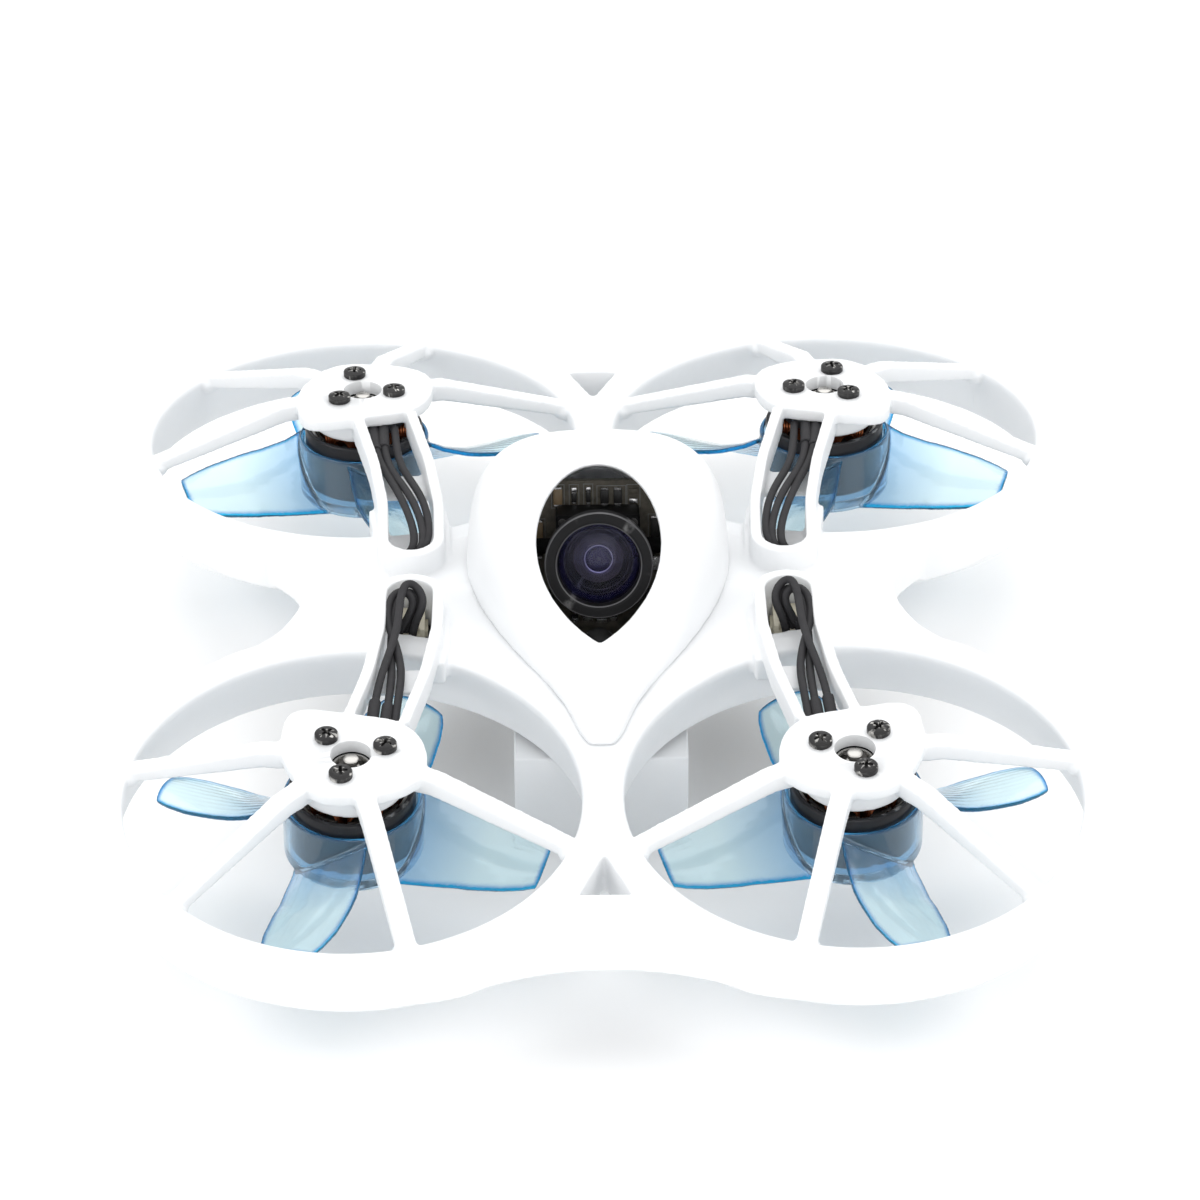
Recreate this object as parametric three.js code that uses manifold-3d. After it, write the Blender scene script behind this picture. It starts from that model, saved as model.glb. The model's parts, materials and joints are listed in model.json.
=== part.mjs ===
// A small ducted racing drone: four canted duct pods with motors hung under their hubs,
// a centre deck with a camera canopy above it and a battery tray below it.
// Millimetres, +Z up, +X to the drone's left, nose towards -Y, standing on z = 0.
import * as THREE from 'three';
import { mergeVertices } from 'three/addons/utils/BufferGeometryUtils.js';
import Module from 'manifold-3d';

const wasm = await Module();
wasm.setup();

// Layout of the four pods
const podX = 24.4;             // half the spacing between left and right motors
const podY = 33.0;             // half the spacing between front and rear motors
const cant = Math.PI / 36;     // pods lean away from the middle by 5 degrees
const lipZ = 16.2;             // height of a duct's lip at its motor
const gap = 0.3;               // space kept between neighbouring pieces

// Ducts
const ductInner = 22.3;
const lipOuter = 25.3;
const ductDepth = 6.3;
const spokeAngles = [167.4, 221.5, 284.2, 341.0];
const spokeWidth = 1.7;

// Hub plate, its motor boss and the wire channel
const hubTop = 5.5;
const hubPlate = 1.4;
const bossOuter = 5.4;
const bossInner = 4.75;
const bossBottom = 1.9;
const screwCircle = 3.42;
const screwAngles = [-105.5, 14.5, 134.5];
const channelHalf = 2.3;       // half the clear width between the rails
const railWidth = 1.1;
const railHeight = 3.0;
const channelFloor = 0.5;
const channelFloorSpan = [13.3, 17.4];   // the short floor; the channel is open before and after it
const channelSlope = 0.11;
const channelLine = [[1.9, 3.2], [2.4, 5.6], [4.25, 14.1], [5.3, 22], [5.4, 28.3]];

// Motor and propeller
const bellRadius = 6.2;
const cupRadius = 6.85;
const cupBottom = -6.5;
const cupRim = 0.3;
const propRadius = 20;
const bladeStart = 166;        // degrees, direction of the first blade
const bladeThick = 0.34;
const shaftRadius = 0.75;

// Centre deck: a gable that follows the lean of the pods
const ridgeZ = lipZ + 2.9;
const deckSlope = Math.tan(cant);
const deckPlate = 1.4;
const skirt = 5.0;
const waistX = 29.8;
const waistRadius = 12.0;
const noseY = 52.6;
const noseRadius = 29.8;
const bridgeStart = 46.9;
const bridgeEnd = 60;

// Battery and its tray
const batterySize = [14.2, 42, 6.7];
const batteryShift = 3.5;      // the battery stands out of the open rear end
const trayHalfX = 8.7;
const trayHalfY = 19;
const trayTop = 10.6;
const trayWall = 1.2;
const trayWindow = [11, 3.2, 7.4];   // half length, bottom and top of the side windows

// Flight controller with a plug beside each corner
const boardBottom = 13.2;
const boardThick = 1.0;
const plugAt = [19.6, 4.3];
const plugSize = [3.6, 3.0, 2.0];
const socketSize = [4.0, 3.4, 1.8];

// Camera
const lensFront = [0, -6.2, lipZ + 9.0];
const cameraTilt = Math.PI / 9;
const barrelRadius = 5.45;
const pivotDepth = 9.0;        // behind the lens front
const pivotRadius = 0.8;
const mountInner = 8.0;        // half the space between the cheeks that hold the camera

const radians = (degrees) => (degrees * Math.PI) / 180;
const white = { color: 0xf2f3f4, roughness: 0.45, metalness: 0 };
const black = { color: 0x16171a, roughness: 0.5, metalness: 0.1 };
const looks = {
  frame: white,
  canopy: white,
  prop: { color: 0x2f9fd6, roughness: 0.2, metalness: 0 },
  bell: { color: 0x141416, roughness: 0.4, metalness: 0.6 },
  stator: { color: 0x4a2a1c, roughness: 0.6, metalness: 0.3 },
  steel: { color: 0xa8a8a6, roughness: 0.3, metalness: 1 },
  screw: { color: 0x1b1b1d, roughness: 0.4, metalness: 0.8 },
  wire: { color: 0x202124, roughness: 0.7, metalness: 0 },
  plug: { color: 0xe9e4d2, roughness: 0.5, metalness: 0 },
  board: { color: 0x15171a, roughness: 0.55, metalness: 0 },
  camera: black,
  glass: { color: 0x1c2340, roughness: 0.05, metalness: 0 },
  battery: { color: 0x24262b, roughness: 0.5, metalness: 0 },
};

// A closed three.js geometry as a solid, turned the right way out
function solid(geometry) {
  const bare = geometry.clone();
  bare.deleteAttribute('normal');
  bare.deleteAttribute('uv');
  const merged = mergeVertices(bare, 1e-4);
  const vertProperties = new Float32Array(merged.attributes.position.array);
  const triVerts = Uint32Array.from(merged.index.array);
  if (signedVolume(vertProperties, triVerts) < 0) flip(triVerts);
  return new wasm.Manifold(new wasm.Mesh({ numProp: 3, vertProperties, triVerts }));
}

function flip(triangles) {
  for (let i = 0; i < triangles.length; i += 3) {
    [triangles[i + 1], triangles[i + 2]] = [triangles[i + 2], triangles[i + 1]];
  }
}

function signedVolume(points, triangles) {
  const corner = (i) => new THREE.Vector3().fromArray(points, 3 * triangles[i]);
  let sum = 0;
  for (let i = 0; i < triangles.length; i += 3) {
    sum += corner(i).dot(corner(i + 1).cross(corner(i + 2)));
  }
  return sum / 6;
}

// Back to a geometry, mirrored in x and y by the signs given
function geometryOf(body, signX = 1, signY = 1) {
  const { vertProperties, triVerts } = body.getMesh();
  const triangles = Uint32Array.from(triVerts);
  if (signX * signY < 0) flip(triangles);
  const geometry = new THREE.BufferGeometry();
  geometry.setAttribute('position', new THREE.BufferAttribute(new Float32Array(vertProperties), 3));
  geometry.setIndex(new THREE.BufferAttribute(triangles, 1));
  geometry.scale(signX, signY, 1);
  geometry.computeVertexNormals();
  return geometry;
}

const join = (first, ...rest) => rest.reduce((sum, next) => sum.add(next), first);

function block(low, high) {
  const size = high.map((value, i) => value - low[i]);
  const middle = high.map((value, i) => (value + low[i]) / 2);
  return solid(new THREE.BoxGeometry(...size).translate(...middle));
}

function rod(x, y, bottom, top, radius, sides = 16) {
  const height = top - bottom;
  const geometry = new THREE.CylinderGeometry(radius, radius, height, sides).rotateX(Math.PI / 2);
  return solid(geometry.translate(x, y, bottom + height / 2));
}

// A profile of [radius, z] points turned about the Z axis
function turned(profile, sides) {
  const points = [...profile, profile[0]].map(([r, z]) => new THREE.Vector2(r, z));
  return solid(new THREE.LatheGeometry(points, sides).rotateX(Math.PI / 2));
}

function outline(points) {
  return new THREE.Shape(points.map(([x, y]) => new THREE.Vector2(x, y)));
}

function raised(shape, bottom, top, curveSegments = 4) {
  const options = { depth: top - bottom, bevelEnabled: false, curveSegments };
  return solid(new THREE.ExtrudeGeometry(shape, options).translate(0, 0, bottom));
}

// Rings of points joined into one skin, closed by a fan at each end
function lofted(rings) {
  const count = rings[0].length;
  const positions = rings.flat(2);
  const index = [];
  for (let i = 0; i < rings.length - 1; i += 1) {
    for (let j = 0; j < count; j += 1) {
      const a = i * count + j;
      const b = i * count + ((j + 1) % count);
      index.push(a, b, b + count, a, b + count, a + count);
    }
  }
  const last = (rings.length - 1) * count;
  for (let j = 1; j < count - 1; j += 1) {
    index.push(0, j + 1, j);
    index.push(last, last + j, last + j + 1);
  }
  const geometry = new THREE.BufferGeometry();
  geometry.setAttribute('position', new THREE.Float32BufferAttribute(positions, 3));
  geometry.setIndex(index);
  return solid(geometry);
}

function tube(points, radius, sides, steps) {
  const path = new THREE.CatmullRomCurve3(points.map((p) => new THREE.Vector3(...p)));
  const section = new THREE.Shape();
  section.absarc(0, 0, radius, 0, 2 * Math.PI);
  const options = { extrudePath: path, steps, curveSegments: sides, bevelEnabled: false };
  return solid(new THREE.ExtrudeGeometry(section, options));
}

// Straight-line value between [at, value] rows
function along(rows, at) {
  const next = rows.findIndex((row) => row[0] >= at);
  if (next === 0) return rows[0][1];
  if (next < 0) return rows[rows.length - 1][1];
  const [x0, y0] = rows[next - 1];
  const [x1, y1] = rows[next];
  return y0 + ((at - x0) / (x1 - x0)) * (y1 - y0);
}

function cornered(points, radius) {
  const shape = new THREE.Shape();
  const vectors = points.map(([x, y]) => new THREE.Vector2(x, y));
  vectors.forEach((corner, i) => {
    const before = vectors[(i + vectors.length - 1) % vectors.length];
    const after = vectors[(i + 1) % vectors.length];
    const enter = corner.clone().add(before.clone().sub(corner).setLength(radius));
    const leave = corner.clone().add(after.clone().sub(corner).setLength(radius));
    if (i === 0) shape.moveTo(enter.x, enter.y);
    else shape.lineTo(enter.x, enter.y);
    shape.quadraticCurveTo(corner.x, corner.y, leave.x, leave.y);
  });
  return shape;
}

// One pod is built in its own frame: +X inboard, +Y towards the middle, z = 0 at the lip

function ductRing() {
  const profile = [
    [ductInner + 0.5, 0], [lipOuter - 0.5, 0], [lipOuter, -0.5], [lipOuter - 0.1, -1.6],
    [lipOuter - 1.1, -ductDepth], [lipOuter - 2.1, -ductDepth], [ductInner + 0.15, -2],
    [ductInner, -0.6],
  ];
  const beyond = podX - gap / 2;
  return turned(profile, 36).subtract(block([beyond, -30, -10], [beyond + 10, 30, 5]));
}

function spoke(angle) {
  const reach = ductInner - gap;
  const side = outline([
    [4.8, hubTop - 0.1], [4.8, 3.4], [8.6, 3.1], [reach, -1.2], [reach, 0.1], [9, hubTop - 0.6],
  ]);
  const options = { depth: spokeWidth, bevelEnabled: false };
  const bar = new THREE.ExtrudeGeometry(side, options).translate(0, 0, -spokeWidth / 2);
  return solid(bar.rotateX(Math.PI / 2).rotateZ(radians(angle)));
}

// The channel's outline at a given half width, with a round far end
function channelShape(half, from, to) {
  const line = channelLine.filter(([, y]) => y > from && y < to);
  const middle = (y) => along(channelLine.map(([px, py]) => [py, px]), y);
  const rows = [[middle(from), from], ...line, [middle(to), to]];
  const left = rows.map(([x, y]) => [x - half, y]);
  const right = rows.map(([x, y]) => [x + half, y]).reverse();
  return { left, right, tip: [middle(to), to] };
}

function channelPrism(half, from, to, bottom, top, roundEnd = true) {
  const { left, right, tip } = channelShape(half, from, to);
  const end = [];
  for (let i = 1; roundEnd && i < 8; i += 1) {
    const turn = Math.PI - (i * Math.PI) / 8;
    end.push([tip[0] + half * Math.cos(turn), tip[1] + half * Math.sin(turn)]);
  }
  const shape = outline([...left, ...end, ...right]);
  const geometry = new THREE.ExtrudeGeometry(shape, { depth: top - bottom, bevelEnabled: false });
  geometry.translate(0, 0, bottom);
  const lean = new THREE.Matrix4();
  lean.set(1, 0, 0, 0, 0, 1, 0, 0, 0, -channelSlope, 1, channelSlope * 6, 0, 0, 0, 1);
  return solid(geometry.applyMatrix4(lean));
}

function wireChannel() {
  const from = 4.9;
  const to = channelLine[channelLine.length - 1][1];
  const bottom = hubTop - railHeight;
  const walls = channelPrism(channelHalf + railWidth, from, to, bottom, hubTop - 0.05);
  const slot = channelPrism(channelHalf, from - 1, to, bottom - 1, hubTop + 1);
  const [start, end] = channelFloorSpan;
  const floor = channelPrism(channelHalf + 0.4, start, end, bottom, bottom + channelFloor, false);
  return walls.subtract(slot).add(floor);
}

function hubAndSpokes() {
  const plateShape = cornered(
    [[-6.3, 7.6], [5.9, 4.9], [8.0, -1.2], [5.6, -5.6], [-3.4, -6.6], [-7.2, 0.2]], 2.2);
  const plate = raised(plateShape, hubTop - hubPlate, hubTop, 2);
  const boss = rod(0, 0, bossBottom, hubTop - hubPlate + 0.2, bossOuter, 18)
    .subtract(rod(0, 0, bossBottom - 1, hubTop - hubPlate, bossInner, 18));
  const exit = block([-0.1, 2.6, 2.9], [4.9, 8.2, hubTop - hubPlate]);
  let body = join(plate, boss, ...spokeAngles.map(spoke));
  body = body.subtract(rod(0, 0, -5, hubTop - hubPlate, bossInner, 18)).subtract(exit);
  body = body.add(wireChannel()).subtract(rod(0, 0, 0, hubTop + 1, 2.0, 14));
  for (const angle of screwAngles) {
    const [x, y] = onCircle(screwCircle, angle);
    body = body.subtract(rod(x, y, 0, hubTop + 1, 0.85, 6));
  }
  return body;
}

function onCircle(radius, angle) {
  return [radius * Math.cos(radians(angle)), radius * Math.sin(radians(angle))];
}

function motorBase() {
  const flangeTop = hubTop - hubPlate - gap;
  let body = join(
    rod(0, 0, 2.0, flangeTop, bossInner - gap, 14),
    rod(0, 0, -3.4, 2.1, 1.7, 10),
    rod(0, 0, -3.0, 1.0, 5.3, 16),
  );
  body = body.subtract(rod(0, 0, -5, hubTop, shaftRadius + 0.15, 8));
  for (const angle of screwAngles) {
    const [x, y] = onCircle(screwCircle, angle);
    body = body.subtract(rod(x, y, 1.3, hubTop, 0.85, 6));
  }
  return body;
}

function bell() {
  const shaftHole = shaftRadius + 0.05;
  return turned([
    [shaftHole, -3.9], [5.6, -3.9], [5.6, 1.5], [bellRadius, 1.5], [bellRadius, -4.4],
    [5.6, -4.9], [shaftHole, -4.9],
  ], 20);
}

function shaft() {
  return rod(0, 0, -6.1, hubTop - 0.5, shaftRadius, 10);
}

function blade(angle) {
  const rings = [];
  const lows = [[6.6, -5.9], [10, -5.9], [15, -5.6], [propRadius, -4.9]];
  const highs = [[6.6, -1.2], [10, -1.7], [15, -2.4], [propRadius, -3.2]];
  const chords = [[6.6, 5.0], [11, 7.6], [15, 8.4], [18, 7.8], [propRadius, 5.6]];
  for (const radius of [6.5, 10, 14, 18, propRadius]) {
    const half = along(chords, radius) / 2;
    const low = along(lows, radius);
    const high = along(highs, radius);
    const rise = (high - low) / 2;
    const middle = (high + low) / 2;
    const skin = (side, camber) => [
      radius, side * half, middle + side * rise + bladeThick * camber * (1 - side * side)];
    const row = [-1, 0, 1].map((side) => skin(side, 1));
    row.forEach((point) => { point[2] += bladeThick / 2; });
    const under = [1, 0, -1].map((side) => skin(side, 0.7));
    under.forEach((point) => { point[2] -= bladeThick / 2; });
    row.push(...under);
    rings.push(row.map(([x, y, z]) => new THREE.Vector3(x, y, z)
      .applyAxisAngle(new THREE.Vector3(0, 0, 1), radians(angle)).toArray()));
  }
  return lofted(rings);
}

function propeller() {
  const wall = 0.5;
  const cup = turned([
    [shaftRadius, cupBottom], [cupRadius - 0.6, cupBottom], [cupRadius, cupBottom + 0.6],
    [cupRadius, cupRim], [cupRadius - wall, cupRim], [cupRadius - wall, cupBottom + 1.3],
    [shaftRadius, cupBottom + 1.3],
  ], 20);
  const bore = rod(0, 0, cupBottom + 0.2, 0, shaftRadius + 0.05, 8);
  const blades = [0, 90, 180, 270].map((turn) => blade(bladeStart + turn));
  return join(cup, ...blades).subtract(rod(0, 0, cupBottom + 1.3, 2, cupRadius - wall, 20)).subtract(bore);
}

function screw(x, y) {
  const head = [
    [0, 1.6], [0.5, 1.6], [0.5, hubTop + 0.05], [1.15, hubTop + 0.05], [1.15, hubTop + 0.55],
    [0.8, hubTop + 0.85], [0, hubTop + 0.85],
  ];
  const points = head.map(([r, z]) => new THREE.Vector2(r, z));
  return solid(new THREE.LatheGeometry(points, 8).rotateX(Math.PI / 2).translate(x, y, 0));
}

// Three wires from the motor to the top of the plug, joined by their sleeve at the motor
function motorLead() {
  const routes = [
    [[1.0, 5.0, 3.5], [1.3, 8, 3.25], [3.4, 14, 2.65], [4.6, 20, 2.5], [4.2, 26, 2.7], [5.0, 29.7, 2.4],
      [6.2, 29.4, 1.6], [5.6, 28.4, 0.3]],
    [[2.3, 5.0, 3.5], [2.6, 8, 3.25], [3.9, 14, 2.65], [4.3, 20, 2.7], [4.8, 26, 3.0], [5.6, 29.8, 2.6],
      [6.6, 29.0, 1.5], [4.9, 28.2, 0.3]],
    [[3.6, 5.0, 3.5], [3.9, 8, 3.25], [4.9, 14, 2.65], [5.1, 20, 2.5], [5.6, 26, 2.8], [5.2, 29.7, 3.0],
      [4.2, 29.2, 1.8], [4.2, 28.1, 0.3]],
  ];
  const sleeve = block([0.7, 4.95, 3.2], [3.9, 5.6, 3.8]);
  return join(sleeve, ...routes.map((points) => tube(points, 0.41, 3, 11)));
}

// What follows lies in the drone's own frame

// The gable over the outline, between two depths below its top; inset pulls its sides in
function gable(upper, lower, inset) {
  const end = 60;
  const side = outline([
    [-end, ridgeZ - deckSlope * end - lower], [-end, ridgeZ - deckSlope * end - upper],
    [0, ridgeZ - upper], [end, ridgeZ - deckSlope * end - upper],
    [end, ridgeZ - deckSlope * end - lower], [0, ridgeZ - lower],
  ]);
  const width = 80;
  const geometry = new THREE.ExtrudeGeometry(side, { depth: width, bevelEnabled: false });
  geometry.translate(0, 0, -width / 2);
  geometry.applyMatrix4(new THREE.Matrix4().makeBasis(
    new THREE.Vector3(0, 1, 0), new THREE.Vector3(0, 0, 1), new THREE.Vector3(1, 0, 0)));
  let body = solid(geometry);
  for (const sign of [-1, 1]) {
    body = body.subtract(rod(sign * (waistX + waistRadius), 0, -10, 60, waistRadius + inset, 40));
    body = body.subtract(rod(0, sign * (noseY + noseRadius), -10, 60, noseRadius + inset, 96));
  }
  return clearOfPods(body, (group) => standIn(rod(0, 0, -30, 40, lipOuter + gap + inset, 56), group));
}

function standIn(body, group) {
  return solid(geometryOf(body, group.signX, group.signY).applyMatrix4(group.matrix));
}

function clearOfPods(body, cutter) {
  return podGroups.reduce((left, group) => left.subtract(cutter(group)), body);
}

function centreDeck() {
  const zone = block([-35.2, -9.4, 0], [35.2, 9.4, 60]).add(block([-14, -25.6, 0], [14, 25.6, 60]));
  let body = gable(0, skirt, 0).intersect(zone);
  body = body.subtract(gable(deckPlate, skirt + 2, 1.3).intersect(block([-34, -24, 0], [34, 24, 60])));
  body = clearOfPods(body, (group) => standIn(
    channelPrism(channelHalf + railWidth + gap, 4, channelLine[4][1], -12, 20), group));
  const camera = block([-8.0, -8.6, 0], [8.0, 10.6, 60]);
  const underLens = block([-4.2, -12.4, 0], [4.2, -8.5, 60]);
  return body.subtract(camera).subtract(underLens);
}

// The web that ties two ducts together at the nose or the tail, behind a three-cornered hole
function bridge(sign) {
  const width = 12.6;
  const zone = block([-width, bridgeStart, 0], [width, bridgeEnd, bridgeEnd]);
  const base = sign * (bridgeStart + 0.7);
  const hole = raised(outline([[0, sign * 41.2], [-2.6, base], [2.6, base]]), 0, bridgeEnd);
  return gable(0, skirt, 0).intersect(solid(geometryOf(zone, 1, sign))).subtract(hole);
}

function batteryTray() {
  let body = block([-trayHalfX, -trayHalfY, 0], [trayHalfX, trayHalfY, trayTop]);
  const inner = trayHalfX - trayWall;
  const front = trayWall - trayHalfY;
  body = body.subtract(block([-inner, front, trayWall], [inner, 30, trayTop - trayWall]));
  const [reach, low, high] = trayWindow;
  body = body.subtract(block([-20, -reach, low], [20, reach, high]));
  for (const sign of [-1, 1]) {
    const post = Math.min(sign * 14.8, sign * 16.8);
    body = body.add(block([-2.2, post, trayTop - 0.5], [2.2, post + 2, 15.9]));
    for (const side of [-1, 1]) {
      body = body.add(rod(side * 6.5, sign * 6.5, trayTop - 0.5, boardBottom - 0.1, 1.2, 12));
    }
  }
  return body;
}

function flightController() {
  const front = [[-22.4, -5.8], [-15, -7.2], [-8, -10.6], [8, -10.6], [15, -7.2], [22.4, -5.8]];
  const board = outline([...front, ...front.map(([x, y]) => [-x, -y])]);
  return raised(board, boardBottom, boardBottom + boardThick);
}

// Canopy cross-sections: [y, half width, height above the deck] from nose to tail
const canopyRows = [
  [-25, 2.0, 0.9], [-20, 3.3, 1.25], [-16, 5.4, 1.5], [-12.4, 7.8, 2.0], [-8, 10.2, 6.3],
  [-4, 12.0, 10.3], [0, 13.1, 14.4], [3, 13.4, 15.1], [6, 13.4, 14.8], [9, 13.0, 13.6],
  [12, 12.2, 11.8], [16, 9.8, 8.8], [20, 6.6, 5.4], [25, 2.4, 1.8],
];

function canopySkin(inset, drop) {
  const power = 2 / 2.9;
  const rings = canopyRows.map(([y, half, height], i) => {
    const base = ridgeZ - deckSlope * Math.abs(y) + gap - drop;
    const wide = Math.max(half - inset, 0.4);
    const tall = Math.max(height - inset + drop, 0.4);
    const end = i === 0 || i === canopyRows.length - 1;
    const at = end ? y - Math.sign(y) * inset : y;
    const row = [];
    for (let step = 0; step <= 12; step += 1) {
      const turn = (Math.PI * step) / 12;
      const x = Math.sign(Math.cos(turn)) * wide * Math.abs(Math.cos(turn)) ** power;
      row.push([x, at, base + tall * Math.sin(turn) ** power]);
    }
    return row;
  });
  return lofted(rings);
}

function teardrop() {
  const shape = new THREE.Shape();
  shape.moveTo(0, -9.2);
  shape.bezierCurveTo(2.0, -8.0, 6.25, -4.4, 6.25, 1.2);
  shape.bezierCurveTo(6.25, 5.2, 3.6, 9.1, 0, 9.1);
  shape.bezierCurveTo(-3.6, 9.1, -6.25, 5.2, -6.25, 1.2);
  shape.bezierCurveTo(-6.25, -4.4, -2.0, -8.0, 0, -9.2);
  const depth = 9;
  const geometry = new THREE.ExtrudeGeometry(shape, { depth, bevelEnabled: false, curveSegments: 6 });
  geometry.translate(0, 0, -depth / 2).rotateX(radians(47.4));
  return solid(geometry.translate(0, -6.2, lipZ + 10.5));
}

function canopy() {
  return canopySkin(0, 0).subtract(canopySkin(1.0, 2)).subtract(teardrop());
}

// The camera is built in its own frame: lens front at the origin, looking along -Y

function forwardRod(front, back, radius, sides) {
  const geometry = new THREE.CylinderGeometry(radius, radius, back - front, sides);
  return solid(geometry.translate(0, (front + back) / 2, 0));
}

function lensBarrel() {
  return forwardRod(0, 6, barrelRadius, 28).subtract(forwardRod(-1, 1.6, 4.2, 28));
}

function lensGlass() {
  return forwardRod(0.7, 1.5, 4.0, 24);
}

function cameraHousing() {
  const pinLength = 2 * mountInner - 0.4;
  const pin = new THREE.CylinderGeometry(pivotRadius, pivotRadius, pinLength, 12).rotateZ(Math.PI / 2);
  return block([-5.8, 6.2, -5.8], [5.8, 12, 5.8]).add(solid(pin.translate(0, pivotDepth, 0)));
}

function cameraBoard() {
  return block([-7.4, 12.2, -5.4], [7.4, 13.2, 6.9]);
}

function cameraMount() {
  const pivotY = lensFront[1] + pivotDepth * Math.cos(cameraTilt);
  const pivotZ = lensFront[2] - pivotDepth * Math.sin(cameraTilt);
  const foot = ridgeZ + 0.1;
  let body = block([-9.6, -6, foot], [9.6, 8.6, foot + 0.9]);
  const cheek = 1.9;
  for (const sign of [-1, 1]) {
    const low = Math.min(sign * mountInner, sign * (mountInner + 1));
    body = body.add(block([low, pivotY - cheek, foot], [low + 1, pivotY + cheek, pivotZ + cheek]));
  }
  body = body.subtract(block([-mountInner, -20, 0], [mountInner, 6.8, 40]));
  const boreRadius = pivotRadius + 0.1;
  const hole = new THREE.CylinderGeometry(boreRadius, boreRadius, 30, 12).rotateZ(Math.PI / 2);
  return body.subtract(solid(hole.translate(0, pivotY, pivotZ)));
}

const drone = new THREE.Group();

const podGroups = ['front', 'rear'].flatMap((end) => ['left', 'right'].map((side) => {
  const group = new THREE.Group();
  group.signX = side === 'left' ? -1 : 1;
  group.signY = end === 'front' ? 1 : -1;
  group.corner = `${end}_${side}`;
  group.position.set(-group.signX * podX, -group.signY * podY, lipZ);
  group.rotation.x = group.signY * cant;
  group.updateMatrix();
  drone.add(group);
  return group;
}));

function add(name, geometry, look, parent = drone) {
  const mesh = new THREE.Mesh(geometry, new THREE.MeshStandardMaterial(looks[look]));
  mesh.name = name;
  parent.add(mesh);
}

const podPieces = [
  ['duct_ring', ductRing(), 'frame'],
  ['hub_and_spokes', hubAndSpokes(), 'frame'],
  ['motor_base', motorBase(), 'stator'],
  ['motor_bell', bell(), 'bell'],
  ['motor_shaft', shaft(), 'steel'],
  ['propeller', propeller(), 'prop'],
  ['motor_lead', motorLead(), 'wire'],
];
screwAngles.forEach((angle, i) => {
  podPieces.push([`motor_screw_${i + 1}`, screw(...onCircle(screwCircle, angle)), 'screw']);
});

for (const group of podGroups) {
  for (const [name, body, look] of podPieces) {
    add(`${name}_${group.corner}`, geometryOf(body, group.signX, group.signY), look, group);
  }
  const [x, y] = [-group.signX * plugAt[0], -group.signY * plugAt[1]];
  const socketBottom = boardBottom + boardThick + 0.1;
  const plugBottom = socketBottom + socketSize[2] + 0.1;
  const socketBox = new THREE.BoxGeometry(...socketSize);
  const plugBox = new THREE.BoxGeometry(...plugSize);
  add(`socket_${group.corner}`, socketBox.translate(x, y, socketBottom + socketSize[2] / 2), 'plug');
  add(`plug_${group.corner}`, plugBox.translate(x, y, plugBottom + plugSize[2] / 2), 'plug');
}

add('centre_deck', geometryOf(centreDeck()), 'frame');
add('nose_bridge', geometryOf(bridge(-1)), 'frame');
add('tail_bridge', geometryOf(bridge(1)), 'frame');
add('battery_tray', geometryOf(batteryTray()), 'frame');
add('canopy', geometryOf(canopy()), 'canopy');
add('flight_controller', geometryOf(flightController()), 'board');
add('camera_mount', geometryOf(cameraMount()), 'frame');

const battery = new THREE.BoxGeometry(...batterySize);
add('battery', battery.translate(0, batteryShift, trayWall + 0.1 + batterySize[2] / 2), 'battery');

const cameraGroup = new THREE.Group();
cameraGroup.position.set(...lensFront);
cameraGroup.rotation.x = -cameraTilt;
drone.add(cameraGroup);
add('camera_housing', geometryOf(cameraHousing()), 'camera', cameraGroup);
add('lens_barrel', geometryOf(lensBarrel()), 'camera', cameraGroup);
add('lens_glass', geometryOf(lensGlass()), 'glass', cameraGroup);
add('camera_board', geometryOf(cameraBoard()), 'board', cameraGroup);

export default drone;
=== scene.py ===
import bpy
import json
import math
from mathutils import Matrix, Vector


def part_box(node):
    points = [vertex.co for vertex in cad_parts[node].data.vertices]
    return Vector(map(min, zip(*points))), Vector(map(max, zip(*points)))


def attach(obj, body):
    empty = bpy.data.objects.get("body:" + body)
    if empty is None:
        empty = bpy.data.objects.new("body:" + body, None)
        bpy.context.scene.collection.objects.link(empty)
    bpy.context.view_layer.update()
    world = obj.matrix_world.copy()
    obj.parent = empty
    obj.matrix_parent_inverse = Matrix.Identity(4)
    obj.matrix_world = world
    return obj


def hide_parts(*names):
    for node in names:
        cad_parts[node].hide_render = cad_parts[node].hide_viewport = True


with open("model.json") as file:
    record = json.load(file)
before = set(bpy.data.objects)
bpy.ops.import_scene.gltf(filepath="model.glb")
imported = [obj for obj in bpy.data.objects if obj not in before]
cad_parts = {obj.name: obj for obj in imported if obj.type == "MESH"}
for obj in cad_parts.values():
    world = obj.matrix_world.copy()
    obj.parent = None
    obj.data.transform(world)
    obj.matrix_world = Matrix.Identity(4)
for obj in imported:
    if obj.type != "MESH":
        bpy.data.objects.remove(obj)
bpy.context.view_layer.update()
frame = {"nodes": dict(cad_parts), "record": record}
record = frame["record"]
mm = 0.001
corners = ["front_left", "front_right", "rear_left", "rear_right"]

# where each motor sits and how its pod leans, from the spin joints
spins = {joint["name"][5:]: joint for joint in record["behaviour"]["joints"]
         if joint["name"].startswith("spin_")}
lipHeight = spins["front_left"]["pos_m"][2]


def podSigns(corner):
    return (-1 if corner.endswith("left") else 1, 1 if corner.startswith("front") else -1)


def podMatrix(corner):
    signX, signY = podSigns(corner)
    axis = Vector(spins[corner]["axis"])
    lean = math.atan2(-axis.y, axis.z)
    turn = Matrix.Rotation(lean, 4, "X")
    mirror = Matrix.Diagonal((signX, signY, 1, 1))
    return Matrix.Translation(spins[corner]["pos_m"]) @ turn @ mirror


def clearSelection():
    if bpy.context.object and bpy.context.object.mode != "OBJECT":
        bpy.ops.object.mode_set(mode="OBJECT")
    bpy.ops.object.select_all(action="DESELECT")


def pick(*objects):
    clearSelection()
    for obj in objects:
        obj.select_set(True)
    bpy.context.view_layer.objects.active = objects[0]
    return objects[0]


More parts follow.
